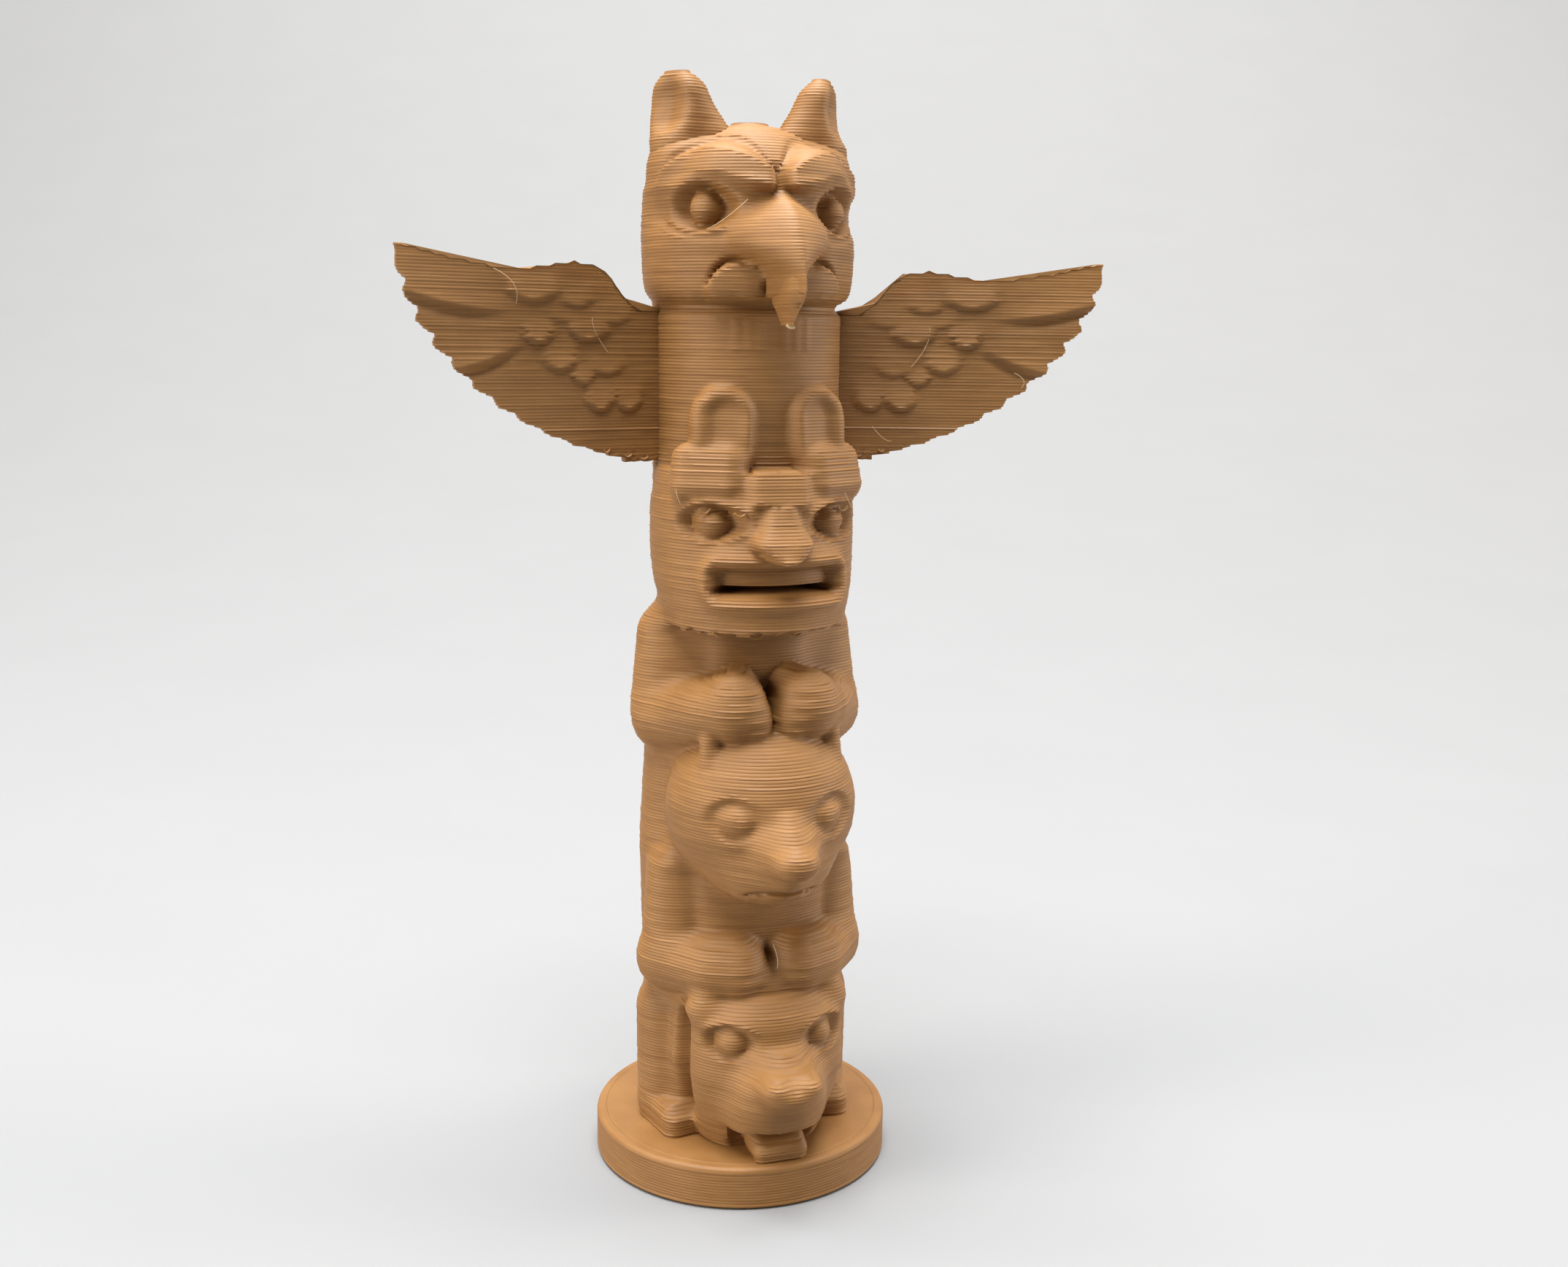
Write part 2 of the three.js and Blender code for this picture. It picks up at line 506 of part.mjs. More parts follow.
function toGeometry(body) {
  const mesh = body.getMesh();
  const geometry = new THREE.BufferGeometry();
  geometry.setAttribute('position', new THREE.BufferAttribute(new Float32Array(mesh.vertProperties), 3));
  geometry.setIndex(new THREE.BufferAttribute(new Uint32Array(mesh.triVerts), 1));
  geometry.computeVertexNormals();
  return geometry;
}

const totemPole = new THREE.Mesh(toGeometry(whole), new THREE.MeshStandardMaterial(MATERIAL));
totemPole.name = 'totem_pole';

const part = new THREE.Group();
part.add(totemPole);
export default part;
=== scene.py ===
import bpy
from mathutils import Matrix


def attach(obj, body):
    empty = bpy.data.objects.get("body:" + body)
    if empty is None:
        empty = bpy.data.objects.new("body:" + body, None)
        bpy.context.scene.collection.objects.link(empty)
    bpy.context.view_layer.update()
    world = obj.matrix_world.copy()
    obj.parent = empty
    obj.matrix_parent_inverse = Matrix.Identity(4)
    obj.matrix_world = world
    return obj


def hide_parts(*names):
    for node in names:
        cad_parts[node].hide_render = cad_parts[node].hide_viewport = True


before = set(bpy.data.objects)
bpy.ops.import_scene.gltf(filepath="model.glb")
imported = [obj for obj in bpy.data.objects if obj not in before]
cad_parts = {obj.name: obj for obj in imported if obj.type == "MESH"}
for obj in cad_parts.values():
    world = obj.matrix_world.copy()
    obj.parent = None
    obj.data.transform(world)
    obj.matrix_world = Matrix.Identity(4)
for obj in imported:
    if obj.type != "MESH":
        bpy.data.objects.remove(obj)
"""A small totem pole, 3-D printed in one piece in tan PLA, on a pale studio floor.

The object is worked out in millimetres and turned to metres when its mesh is made. The pole's axis is
x = y = 0, it faces -Y, and it is the same on both sides of the plane x = 0. The studio is in metres.
"""

import bpy
import numpy as np
from mathutils import Matrix, Vector

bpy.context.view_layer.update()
MM = 0.001
RNG = np.random.default_rng(7)

# ---- driving sizes, mm ----
LAYER = 0.27  # drawn height of a printed layer: the real one is 0.2, too fine to show in the render
BEAD = 0.055  # how far the groove between two layers lies behind their crests
WANDER = 0.018  # how unevenly one layer lies on the last
STEP_SHARE = 0.2  # share of the step between two layers by which their groove lies deeper
THINNEST = 0.03  # least radius of a ring
BASE_RADIUS = 13.83
BASE_HEIGHT = 3.95
BASE_EDGE = 0.45
BASE_COLUMNS = 96
POLE_TOP = 95.05
POLE_COLUMNS = 106
POLE_CROWD = 3.0  # the columns stand 1 + this many times closer over the front than at the back
EAR_MIDDLE = (6.6, 0.2)
EAR_COLUMNS = 32
HOOK_MIDDLE = -10.9  # how far forward the middle of the beak's hook lies
OVERHANGS = [  # height, and how unevenly its strands hang
    (51.9, 0.14), (62.6, 0.2), (79.9, 0.07), (58.6, 0.12), (6.9, 0.1), (28.6, 0.08),
]
OVERHANG_REACH = 0.7  # how far above and below its height an overhang's strands sag
MOST_SAG = 1.6  # the most a strand may sag, over the overhang's unevenness
SHARP_ANGLE = np.radians(62)  # edges steeper than this are drawn sharp
FAR_AWAY = 1000.0
ROW_MARGIN = 0.9  # how far past a form's ends its rows are read
TINY = 1e-9

# ---- forms: each gives the distance from points to one rounded shape ----


def turned(x, y, z, at, yaw=0.0, pitch=0.0):
    """Points seen from a form at a place, turned about the upright (yaw), then the cross line (pitch)."""
    x, y, z = x - at[0], y - at[1], z - at[2]
    c, s = np.cos(np.radians(yaw)), np.sin(np.radians(yaw))
    x, y = c * x + s * y, c * y - s * x
    if pitch:
        c, s = np.cos(np.radians(pitch)), np.sin(np.radians(pitch))
        y, z = c * y + s * z, c * z - s * y
    return x, y, z


def rounded(side, end, edge):
    """Distance to the rounded edge of two walls, from the distance to each wall plus the edge's radius."""
    outside = np.hypot(np.maximum(side, 0), np.maximum(end, 0))
    return outside + np.minimum(np.maximum(side, end), 0) - edge


def level(z, heights, values):
    """A value read from a table at each height, its corners eased over 1.2 mm."""
    reads = [np.interp(z + step, heights, values) for step in (-0.6, -0.2, 0.2, 0.6)]
    return sum(reads) / len(reads)


def egg(at, half, yaw=0.0, pitch=0.0, **how):
    """Ellipsoid: k0 (k0 - 1) / k1, the lengths of the point over the half sizes and over their squares."""
    def far(x, y, z):
        x, y, z = turned(x, y, z, at, yaw, pitch)
        k0 = np.sqrt((x / half[0]) ** 2 + (y / half[1]) ** 2 + (z / half[2]) ** 2)
        k1 = np.sqrt((x / half[0] ** 2) ** 2 + (y / half[1] ** 2) ** 2 + (z / half[2] ** 2) ** 2) + TINY
        return k0 * (k0 - 1) / k1
    reach = max(half) if pitch else half[2]
    return dict(far=far, low=at[2] - reach, high=at[2] + reach, **how)


def limb(a, b, r, **how):
    """Round bar from a to b whose radius runs evenly from r[0] to r[1]."""
    d = np.subtract(b, a)

    def far(x, y, z):
        x, y, z = x - a[0], y - a[1], z - a[2]
        t = np.clip((x * d[0] + y * d[1] + z * d[2]) / (d @ d), 0, 1)
        away = np.sqrt((x - t * d[0]) ** 2 + (y - t * d[1]) ** 2 + (z - t * d[2]) ** 2)
        return away - r[0] - (r[1] - r[0]) * t
    return dict(far=far, low=min(a[2], b[2]) - max(r), high=max(a[2], b[2]) + max(r), **how)


def block(at, half, edge, yaw=0.0, pitch=0.0, **how):
    """Box with rounded edges: the length of what lies outside its core, less the edge's radius."""
    def far(x, y, z):
        x, y, z = turned(x, y, z, at, yaw, pitch)
        x, y, z = abs(x) - half[0] + edge, abs(y) - half[1] + edge, abs(z) - half[2] + edge
        out = np.sqrt(np.maximum(x, 0) ** 2 + np.maximum(y, 0) ** 2 + np.maximum(z, 0) ** 2)
        return out + np.minimum(np.maximum(np.maximum(x, y), z), 0) - edge
    reach = max(half) if pitch else half[2]
    return dict(far=far, low=at[2] - reach, high=at[2] + reach, **how)


def tab(at, half, edge, yaw=0.0, pitch=0.0, **how):
    """Upright slab with half-round ends, from its half width, half depth and half straight length."""
    def far(x, y, z):
        x, y, z = turned(x, y, z, at, yaw, pitch)
        side = np.hypot(x, np.maximum(abs(z) - half[2], 0)) - half[0] + edge
        return rounded(side, abs(y) - half[1] + edge, edge)
    reach = half[0] + half[2] + half[1] * 0.3  # the last part allows for its lean
    return dict(far=far, low=at[2] - reach, high=at[2] + reach, **how)


def post(heights, wide, deep, centre, edge, **how):
    """Upright oval column: half width, half depth and centre (a table or one number) read at each height."""
    low, high = heights[0], heights[-1]
    centre = np.broadcast_to(centre, len(heights))

    def far(x, y, z):
        zc = np.clip(z, low, high)
        a, b = level(zc, heights, wide), level(zc, heights, deep)
        y = y - level(zc, heights, centre)
        k0 = np.hypot(x / a, y / b)
        k1 = np.hypot(x / a ** 2, y / b ** 2) + TINY
        return rounded(k0 * (k0 - 1) / k1 + edge, np.maximum(low - z, z - high) + edge, edge)
    return dict(far=far, low=low, high=high, **how)


def prow(heights, reach, wide, foot, power, edge=0.3, **how):
    """Ridge like a ship's bow: |x / wide|^p + ((forward - foot) / (reach - foot))^p = 1 at each height."""
    low, high = heights[0], heights[-1]

    def far(x, y, z):
        zc = np.clip(z, low, high)
        w = level(zc, heights, wide)
        out = level(zc, heights, reach) - foot
        g = ((abs(x) / w) ** power + (np.maximum(-y - foot, 0) / out) ** power) ** (1 / power) - 1
        side = np.maximum(g * w * out / np.hypot(w, out), y + foot)
        return rounded(side + edge, np.maximum(low - z, z - high) + edge, edge)
    return dict(far=far, low=low, high=high, **how)


def joined(a, b, k):
    """The nearer of two distances, with the corner between them filled over a width k."""
    h = np.maximum(k - abs(a - b), 0) / k
    return np.minimum(a, b) - h * h * k * 0.25


def distance(forms, x, y, z):
    """Distance to a list of forms, added or cut in turn, each read near its own rows. Rows run upwards."""
    heights = z[:, 0]
    d = np.full(x.shape, FAR_AWAY)
    for form in forms:
        k = form["blend"]
        ends = (form["low"] - k - ROW_MARGIN, form["high"] + k + ROW_MARGIN)
        rows = slice(*np.searchsorted(heights, ends))
        if rows.start == rows.stop:
            continue
        q = form["far"](abs(x[rows]), y[rows], z[rows])
        d[rows] = -joined(-d[rows], q, k) if form.get("cut") else joined(d[rows], q, k)
    return d


def radii(forms, centre, heights, angles, start, sag=0.0, steps=64, relax=0.85, least=0.02):
    """Radius of the surface by height and direction: step in by a share of the distance until it is met."""
    z = heights[:, None] + sag + np.zeros((1, len(angles)))
    sx, sy = np.sin(angles)[None, :], -np.cos(angles)[None, :]
    r = np.full(z.shape, float(start))
    for _ in range(steps):
        r = np.maximum(r - relax * distance(forms, centre[0] + r * sx, centre[1] + r * sy, z), least)
    return r


# ---- the figures, from the bottom up ----

def trunk():
    """The plain pole behind the figures: one oval column, slimmer behind the belly."""
    return [
        post([3, 17, 31, 40, 45, 50, 54, 58, 80.5],
             [9.0, 9.3, 9.7, 9.2, 8.6, 8.0, 7.8, 8.4, 8.5],
             [8.0, 8.0, 8.0, 7.5, 6.6, 6.2, 6.8, 8.0, 8.0], centre=0.7, edge=0.2, blend=0.01),
    ]


def eagle_head():
    """Skull and crown as a column and two eggs, with a ridge for the beak."""
    skull = 86.3  # height of the skull's middle
    return [
        # skull and crown
        post([79.7, 80.6, 82, 84, 86, 89.6],
             [8.8, 9.2, 9.4, 9.45, 9.3, 9.25],
             [8.7, 9.0, 9.2, 9.2, 9.2, 9.2], centre=0.5, edge=0.9, blend=0.3),
        egg([0, 0.4, skull], [9.3, 9.3, POLE_TOP - skull], blend=0.8),
        egg([6.1, 0.2, 91.0], [3.1, 3.6, 3.1], blend=1.4),
        # beak, as far down as the chin
        prow([80.0, 81.5, 82.2, 82.8, 83.3, 84.5, 86.2, 87.2, 88.1, 88.8],
             [15.3, 15.5, 15.3, 15.1, 14.9, 14.3, 13.2, 11.9, 10.2, 8.4],
             [1.5, 1.6, 2.3, 3.4, 4.4, 5.4, 4.9, 3.7, 2.6, 1.2], foot=5.5, power=1.4, blend=0.5),
    ]


def mask_figure():
    """Face as a column, tabs for ears, blocks for the forehead, a ridge for the nose, bars and eggs below."""
    lean = dict(yaw=24, pitch=-7)
    return [
        post([51.5, 53.8, 55.5, 58, 62, 65.4],
             [8.0, 8.6, 9.0, 9.2, 9.2, 8.6],
             [8.3, 8.5, 8.6, 8.8, 8.8, 8.2],
             [-2.5, -2.3, -1.9, -1.5, -1.5, -1.2], edge=0.35, blend=0.2),
        # arched ears with a hollow in each
        tab([4.15, -6.1, 69.65], [2.8, 1.7, 0.2], edge=1.2, blend=0.5, **lean),
        tab([4.15, -6.1, 67.8], [2.8, 1.7, 0.2], edge=1.2, blend=0.5, **lean),
        tab([4.5, -8.3, 68.9], [1.55, 0.95, 1.1], edge=0.6, blend=1.1, cut=True, **lean),
        # forehead: a block under each ear and a lower one between them
        block([4.6, -4.9, 64.75], [3.3, 3.5, 2.6], edge=1.5, blend=0.4, yaw=30, pitch=-14),
        block([0, -8.0, 63.35], [2.7, 2.3, 1.7], edge=0.8, blend=0.4, pitch=-16),
        # nose
        prow([57.7, 58.1, 58.6, 59.1, 59.6, 60.2, 61, 62.6],
             [12.4, 12.7, 12.8, 12.7, 12.4, 12.0, 11.4, 10.6],
             [0.5, 1.2, 2.1, 2.95, 2.9, 2.4, 1.9, 1.3], foot=8.0, power=4.5, blend=0.12),
        # upper arm, forearm and hand
        limb([7.35, 0.5, 50.2], [7.7, 0.1, 44.5], [2.75, 3.0], blend=1.8),
        limb([7.4, -0.6, 42.75], [4.8, -5.6, 44.1], [3.45, 3.1], blend=0.8),
        egg([3.35, -7.4, 44.7], [3.1, 3.05, 3.3], blend=0.7),
        egg([1.5, -8.4, 43.6], [1.5, 1.6, 2.0], blend=0.6),
    ]


def bear():
    """Head, jaw and hands as eggs, the snout as a ridge, and the ears and arms as bars."""
    return [
        # head, jaw and ears
        egg([0, -4.7, 35.3], [8.75, 8.7, 8.4], blend=0.4),
        egg([0, -8.4, 30.6], [5.2, 5.0, 3.6], blend=1.6),
        limb([5.7, -8.0, 40.0], [5.7, -7.8, 42.2], [0.95, 0.8], blend=0.5),
        # snout
        prow([28.4, 29.4, 30.2, 31.2, 32.2, 33.2, 34.2, 35.2, 36.5],
             [13.0, 13.9, 14.8, 15.7, 16.3, 16.5, 16.0, 15.0, 13.5],
             [3.0, 3.5, 3.7, 3.9, 4.0, 4.0, 3.7, 3.2, 2.3], foot=9.0, power=1.7, blend=0.6),
        egg([0, -15.6, 32.6], [2.1, 1.75, 1.45], blend=0.3),
        # upper arm, forearm, hand and the place where the hands meet
        limb([6.9, -2.2, 29.0], [7.2, -2.5, 22.0], [2.9, 3.1], blend=0.5),
        limb([7.6, -2.3, 20.4], [4.6, -6.4, 20.6], [3.2, 3.1], blend=0.8),
        egg([2.9, -7.2, 20.5], [3.0, 3.1, 3.2], blend=0.7),
        egg([0, -7.4, 19.2], [2.4, 2.6, 2.0], blend=0.9),
    ]


def second_bear():
    """Head as a column, the muzzle as a ridge with the mouth cut out of it, and a leg as a bar beside it."""
    lip = 6.8  # height of the upper lip
    return [
        post([2.5, 6, 8.5, 11, 15.5, 18.6],
             [5.3, 6.6, 7.6, 8.2, 8.0, 7.2],
             [5.0, 5.8, 6.6, 7.1, 7.1, 6.8], centre=-5.2, edge=2.4, blend=0.4),
        egg([5.9, -7.9, 17.2], [1.7, 1.6, 1.9], blend=1.0),
        # muzzle, nose and its two lobes
        prow([lip, 7.6, 9, 10.5, 11.5, 12.6, 13.4, 14.4],
             [13.6, 14.0, 14.7, 15.3, 15.5, 15.2, 14.6, 13.2],
             [4.9, 5.1, 5.1, 4.9, 4.6, 4.0, 3.3, 2.3], foot=8.0, power=2.3, blend=0.9),
        egg([0, -14.9, 11.7], [2.8, 2.1, 1.35], blend=0.7),
        egg([1.5, -15.3, 12.3], [1.25, 1.5, 0.9], blend=0.5),
        # open mouth and the tongue in it
        block([0, -12.6, lip - 1.6], [4.0, 3.6, 1.6], edge=0.4, blend=0.3, cut=True),
        block([0, -10.5, 5.2], [2.6, 2.7, 1.15], edge=0.95, blend=0.3, pitch=18),
        # leg and foot
        limb([7.3, -0.2, 14.8], [7.2, -0.2, 5.5], [3.0, 3.0], blend=0.5),
        block([7.4, -2.4, 4.9], [2.15, 3.5, 1.9], edge=1.2, blend=0.4, yaw=-12),
    ]


def hook():
    """The beak's hooked tip, which hangs free of the face."""
    return [
        post([77.8, 78.2, 78.7, 79.3, 79.9, 80.5, 81.2, 82.4],
             [0.36, 0.44, 0.58, 0.77, 0.97, 1.0, 0.95, 0.85],
             [1.39, 1.69, 2.2, 2.95, 3.84, 4.2, 4.2, 3.8], centre=HOOK_MIDDLE, edge=0.25, blend=0.01),
    ]


def ear():
    """A tab thickened by bars, and hollowed by an egg."""
    return [
        tab([*EAR_MIDDLE, 95.9], [2.6, 1.4, 0.6], edge=1.3, blend=0.6, yaw=62),
        limb([6.9, 0.7, 97.3], [6.0, -0.7, 97.1], [1.15, 1.15], blend=1.6),
        limb([6.5, 0.2, 95.5], [6.3, 0.2, 91.0], [2.6, 2.6], blend=0.6),
        limb([5.2, -0.5, 96.9], [3.7, -0.8, 93.7], [1.1, 1.7], blend=1.0),
        egg([8.05, -0.8, 96.2], [1.6, 1.2, 2.0], blend=1.9, cut=True, yaw=62),
    ]


# ---- carving: how far the surface stands out, by the turn from the front in degrees and the height ----
ARC = 0.178  # millimetres along the mask's face for each degree of turn
FINGER = 1.3  # height of one finger


def soft_step(t):
    """0 below 0, 1 above 1, and 3t^2 - 2t^3 between."""
    t = np.clip(t, 0, 1)
    return t * t * (3 - 2 * t)


def bell(value, middle, width):
    """1 at the middle and falling off on both sides of it: exp(-((value - middle) / width)^2)."""
    return np.exp(-((value - middle) / width) ** 2)


def span(value, low, rise, high, fall):
    """1 from low to high, else 0: it rises softly over a width above low and falls over one below high."""
    return soft_step((value - low) / rise) * soft_step((high - value) / fall)


def round_eye(turn, z, socket, ball, depth, bulge, power=0.6):
    """A pointed oval socket, |u|^1.5 + v^2 = 1, sunk to its depth, with an oval dome in it.

    The socket and the ball are given as turn, height, half width in degrees and half height.
    """
    u = (turn - socket[0]) / socket[2]
    v = (z - socket[1]) / socket[3]
    sunk = depth * soft_step((1 - abs(u) ** 1.5 - v ** 2) * 1.5)
    u = (turn - ball[0]) / ball[2]
    v = (z - ball[1]) / ball[3]
    dome = bulge * np.clip(1 - u ** 2 - v ** 2, 0, 1) ** power
    return dome - sunk


def pillow(t, foot, head):
    """A padded band across t = 0 to 1: it rises over its first part, foot, and falls over its last, head."""
    return soft_step(t / foot) ** 0.7 * np.sqrt(np.clip((1 - t) / head, 0, 1))


def eagle_carving(turn, z):
    """Brow, notch, eye, temple, lid, jowl and the groove of the mouth: heights times soft steps and bells."""
    # brow: a leaf from the notch over the beak to the temple, t from its lower edge to its upper
    temple_turn = 79
    upper = level(turn, [0, 3, 6, 12, 20, 32, 46, 60, 72, temple_turn],
                  [89.8, 90.4, 91.0, 91.8, 92.4, 92.8, 92.9, 92.4, 91.2, 89.4])
    lower = level(turn, [0, 8, 16, 24, 34, 46, 60, 70, temple_turn],
                  [88.9, 88.4, 88.4, 88.8, 89.2, 89.2, 88.6, 88.1, 88.0])
    t = (z - lower) / np.maximum(upper - lower, 0.2)
    ends = np.sqrt(np.clip((turn - 1.0) / 5, 0, 1)) * np.sqrt(np.clip((temple_turn - turn) / 8, 0, 1))
    height = 1.1 + np.clip(t, 0, 1) - 1.25 * soft_step((turn - 34) / 38)
    brow = height * pillow(t, 0.34, 0.2) * ends
    valley = -0.35 * bell(t, 1.1, 0.1) * ends
    notch = -bell(turn, 0, 3.2) * bell(z, 89.6, 1.2)
    # eye, as far up as the brow, with a dent behind it and a lid below
    eye = round_eye(turn, z, (45, 87.4, 25, 2.2), (47, 87.4, 11.0, 1.5), depth=1.75, bulge=1.6)
    eye = np.where(t > 0.12, 0, eye)
    temple = -0.75 * bell(turn, 72, 15) * bell(z, 87.1, 1.5)
    lid_line = 85.0 + 0.0011 * (turn - 40) ** 2
    lid = -0.18 * bell(z, lid_line, 0.3) * span(turn, 26, 6, 84, 14)
    # jowl under the drooping line of the mouth
    mouth_line = level(turn, [5, 8, 11, 16, 24, 31, 36, 41],
                       [80.8, 81.7, 82.3, 82.8, 83.0, 82.8, 82.2, 81.0])
    below = mouth_line - z
    across = np.clip((42 - turn) / 4, 0, 1) * np.clip((turn - 8) / 2.5, 0, 1)
    jowl = 0.75 * np.sqrt(np.clip(below / 0.5, 0, 1)) * np.sqrt(across) * np.clip((z - 79.5) / 0.5, 0, 1)
    groove = -0.62 * bell(below, -0.12, 0.27) * across
    beak_side = np.interp(z, [79.7, 81.5, 82.2, 82.8], [8.2, 8.8, 11.5, 15.5])
    crease = -0.35 * bell(turn, beak_side, 1.3) * span(z, 79.5, 0.3, 82.7, 0.5)
    relief = brow + valley + notch + eye + temple + lid + jowl + groove + crease
    return relief * span(z, 79.6, 0.3, 94.4, 0.8)


def mask_carving(turn, z):
    """Eye, lid, cheek and mouth; the mouth is read from the distance to a bar with round ends."""
    eye = round_eye(turn, z, (35, 61.1, 22, 1.85), (37.5, 61.1, 11, 1.45), depth=1.45, bulge=1.35)
    lid_line = 62.9 - 0.0024 * (turn - 34) ** 2
    lid = 0.3 * bell(z, lid_line, 0.35) * span(turn, 9, 8, 58, 12)
    cheek_line = 59.6 - 0.03 * (turn - 20)
    cheek = -0.3 * bell(z, cheek_line, 0.45) * span(turn, 14, 6, 46, 14)
    # mouth: a lip all round, the opening, and the dark gap under the bar of teeth
    arc = turn * ARC
    side = np.hypot(np.maximum(arc - 5.3, 0), np.maximum(abs(z - 56.05) - 0.55, 0)) - 0.75
    lip = 0.6 * bell(side, 0.6, 0.55)
    opening = -0.9 * soft_step(-side / 0.4)
    gap = np.hypot(np.maximum(arc - 5.6, 0), z - 55.25) - 0.34
    slot = -2.2 * soft_step(-gap / 0.18)
    under_lip = -0.45 * bell(z, 57.15, 0.16) * soft_step((5.4 - arc) / 0.6)
    relief = eye + lid + cheek + lip + opening + slot + under_lip
    return relief * span(z, 51.6, 0.2, 64.5, 0.5)


def bear_carving(turn, z):
    """Eyes, and a groove for the mouth that drops to the sides by a power of 1.6."""
    eye = round_eye(turn, z, (21, 35.7, 14, 2.2), (20, 35.6, 8.5, 1.5), depth=0.6, bulge=0.7, power=0.9)
    mouth_line = 29.35 - 0.012 * np.maximum(turn - 4, 0) ** 1.6
    mouth = -0.7 * bell(z, mouth_line, 0.2) * soft_step((19 - turn) / 5)
    return (eye + mouth) * span(z, 27.0, 1.0, 43.0, 1.0)


def second_bear_carving(turn, z):
    """Eyes, each under an arched brow."""
    eye = round_eye(turn, z, (22.5, 14.9, 14, 1.9), (22, 14.9, 8.0, 1.5), depth=0.85, bulge=1.0, power=0.8)
    brow_line = 16.9 - 0.006 * (turn - 22) ** 2
    brow = 0.35 * bell(z, brow_line, 0.4) * span(turn, 8, 6, 36, 6)
    return (eye + brow) * span(z, 12.2, 0.6, 18, 0.6)


def facing(angles, limit, fade):
    """1 over the front, falling softly to 0 at a limit over a width of fade, both in degrees."""
    return soft_step((np.radians(limit) - abs(angles)) / np.radians(fade))


def knuckles(z, foot):
    """Fingers lying one above the other from a height up: |sin(pi (z - foot) / finger)|."""
    return abs(np.sin(np.pi * (z - foot) / FINGER))


def limb_carving(turn, z):
    """Creases beside the arms, the bear's head and the leg, and the knuckles of each hand."""
    arm = -0.35 * bell(turn, 52, 12) * span(z, 45.5, 1.5, 51.4, 0.4)
    head_side = -0.5 * bell(turn, 74, 8) * span(z, 27.5, 5, 41.0, 3)
    leg = -2.3 * bell(turn, 51, 6.5) * span(z, 5.5, 1.5, 17.2, 1.5)
    flank = -0.35 * bell(turn, 57, 10) * span(z, 22.5, 1.5, 30, 1.5)
    upper_hand = 0.22 * knuckles(z, 41.9) * bell(turn, 11, 6) * span(z, 41.6, 0.6, 47, 0.8)
    lower_hand = 0.2 * knuckles(z, 18.0) * bell(turn, 12, 7) * span(z, 18.4, 0.6, 23, 0.8)
    return arm + head_side + leg + flank + upper_hand + lower_hand


def chest_carving(turn, z):
    """Two faint pairs of upright feather tabs, and the ledge that the head's first layer leaves over them."""
    u = (turn - 17) / 12.5
    tabs = 0.12 * soft_step((1 - abs(u)) * 5) * span(z, 75.4, 0.3, 78.6, 0.4)
    ledge = -0.6 * bell(z, 79.3, 0.4) * soft_step((100 - turn) / 20)
    return tabs * (0.7 + 0.3 * np.cos(turn * 0.75)) + ledge


def carving(angles, heights):
    """The carving of all the figures together, by height and direction."""
    turn, z = np.meshgrid(abs(np.degrees(angles)), heights)
    return (eagle_carving(turn, z) + mask_carving(turn, z) + bear_carving(turn, z)
            + second_bear_carving(turn, z) + chest_carving(turn, z) + limb_carving(turn, z))


# ---- printed layers ----

def layer_heights(low, high):
    """Middle height of each printed layer that lies between two heights."""
    first, last = np.ceil(low / LAYER), np.floor(high / LAYER)
    return (np.arange(first, last) + 0.5) * LAYER


def front_angles(count, crowd):
    """Directions all round, packed by a density of 1 at the back that rises to 1 + crowd over the front."""
    fine = np.linspace(-np.pi, np.pi, 2881)
    density = 1 + crowd * facing(fine, limit=112, fade=40)
    share = np.concatenate([[0], np.cumsum((density[1:] + density[:-1]) / 2)])
    return np.interp(np.arange(count) / count * share[-1], share, fine)


def ring_rows(crests, between, first, last):
    """Values for all rings from the bottom up: one before each layer's crest and one after the last."""
    rows = np.empty((2 * len(crests) + 1, *crests.shape[1:]))
    rows[1::2] = crests
    rows[2:-1:2] = between
    rows[0] = first
    rows[-1] = last
    return rows


def ring_heights(heights):
    """Heights of all rings: the middle of each layer, where two layers meet, and the ends of the stack."""
    meeting = (heights[1:] + heights[:-1]) / 2
    return ring_rows(heights, meeting, heights[0] - LAYER / 2, heights[-1] + LAYER / 2)


def closed_tube(points, ribbed=True, pale=0.0):
    """A tube of rings, closed at both ends by a fan. Every second ring is a groove where it is ribbed."""
    rows, columns = points.shape[:2]
    ends = np.array([points[0].mean(0), points[-1].mean(0)])
    verts = np.concatenate([points.reshape(-1, 3), ends])
    i, j = np.meshgrid(np.arange(rows - 1) * columns, np.arange(columns), indexing="ij")
    k = (j + 1) % columns
    sides = np.stack([i + j, i + k, i + columns + k, i + columns + j], -1).reshape(-1, 4)
    bottom, top = rows * columns, rows * columns + 1
    j, k = j[0], k[0]
    low = np.stack([k, j, np.full(columns, bottom)], -1)
    high = np.stack([(rows - 1) * columns + j, (rows - 1) * columns + k, np.full(columns, top)], -1)
    groove = np.zeros(len(verts), bool)
    groove[:rows * columns] = np.repeat((np.arange(rows) % 2 == 0) & ribbed, columns)
    return dict(verts=verts, faces=[sides, low, high], groove=groove, pale=pale)


def printed(radius, centre, heights, angles):
    """Layered skin: a ring for each layer; between two, their mean less a share of their step and BEAD."""
    crest = radius + RNG.normal(0.0, WANDER, len(heights))[:, None]
    step = abs(np.diff(crest, axis=0))
    between = (crest[1:] + crest[:-1]) / 2 - step * STEP_SHARE - BEAD
    r = np.maximum(ring_rows(crest, between, crest[0] - BEAD, crest[-1] - BEAD), THINNEST)
    x = centre[0] + r * np.sin(angles)
    y = centre[1] - r * np.cos(angles)
    z = ring_heights(heights)[:, None] + 0 * r
    return closed_tube(np.stack([x, y, z], -1))


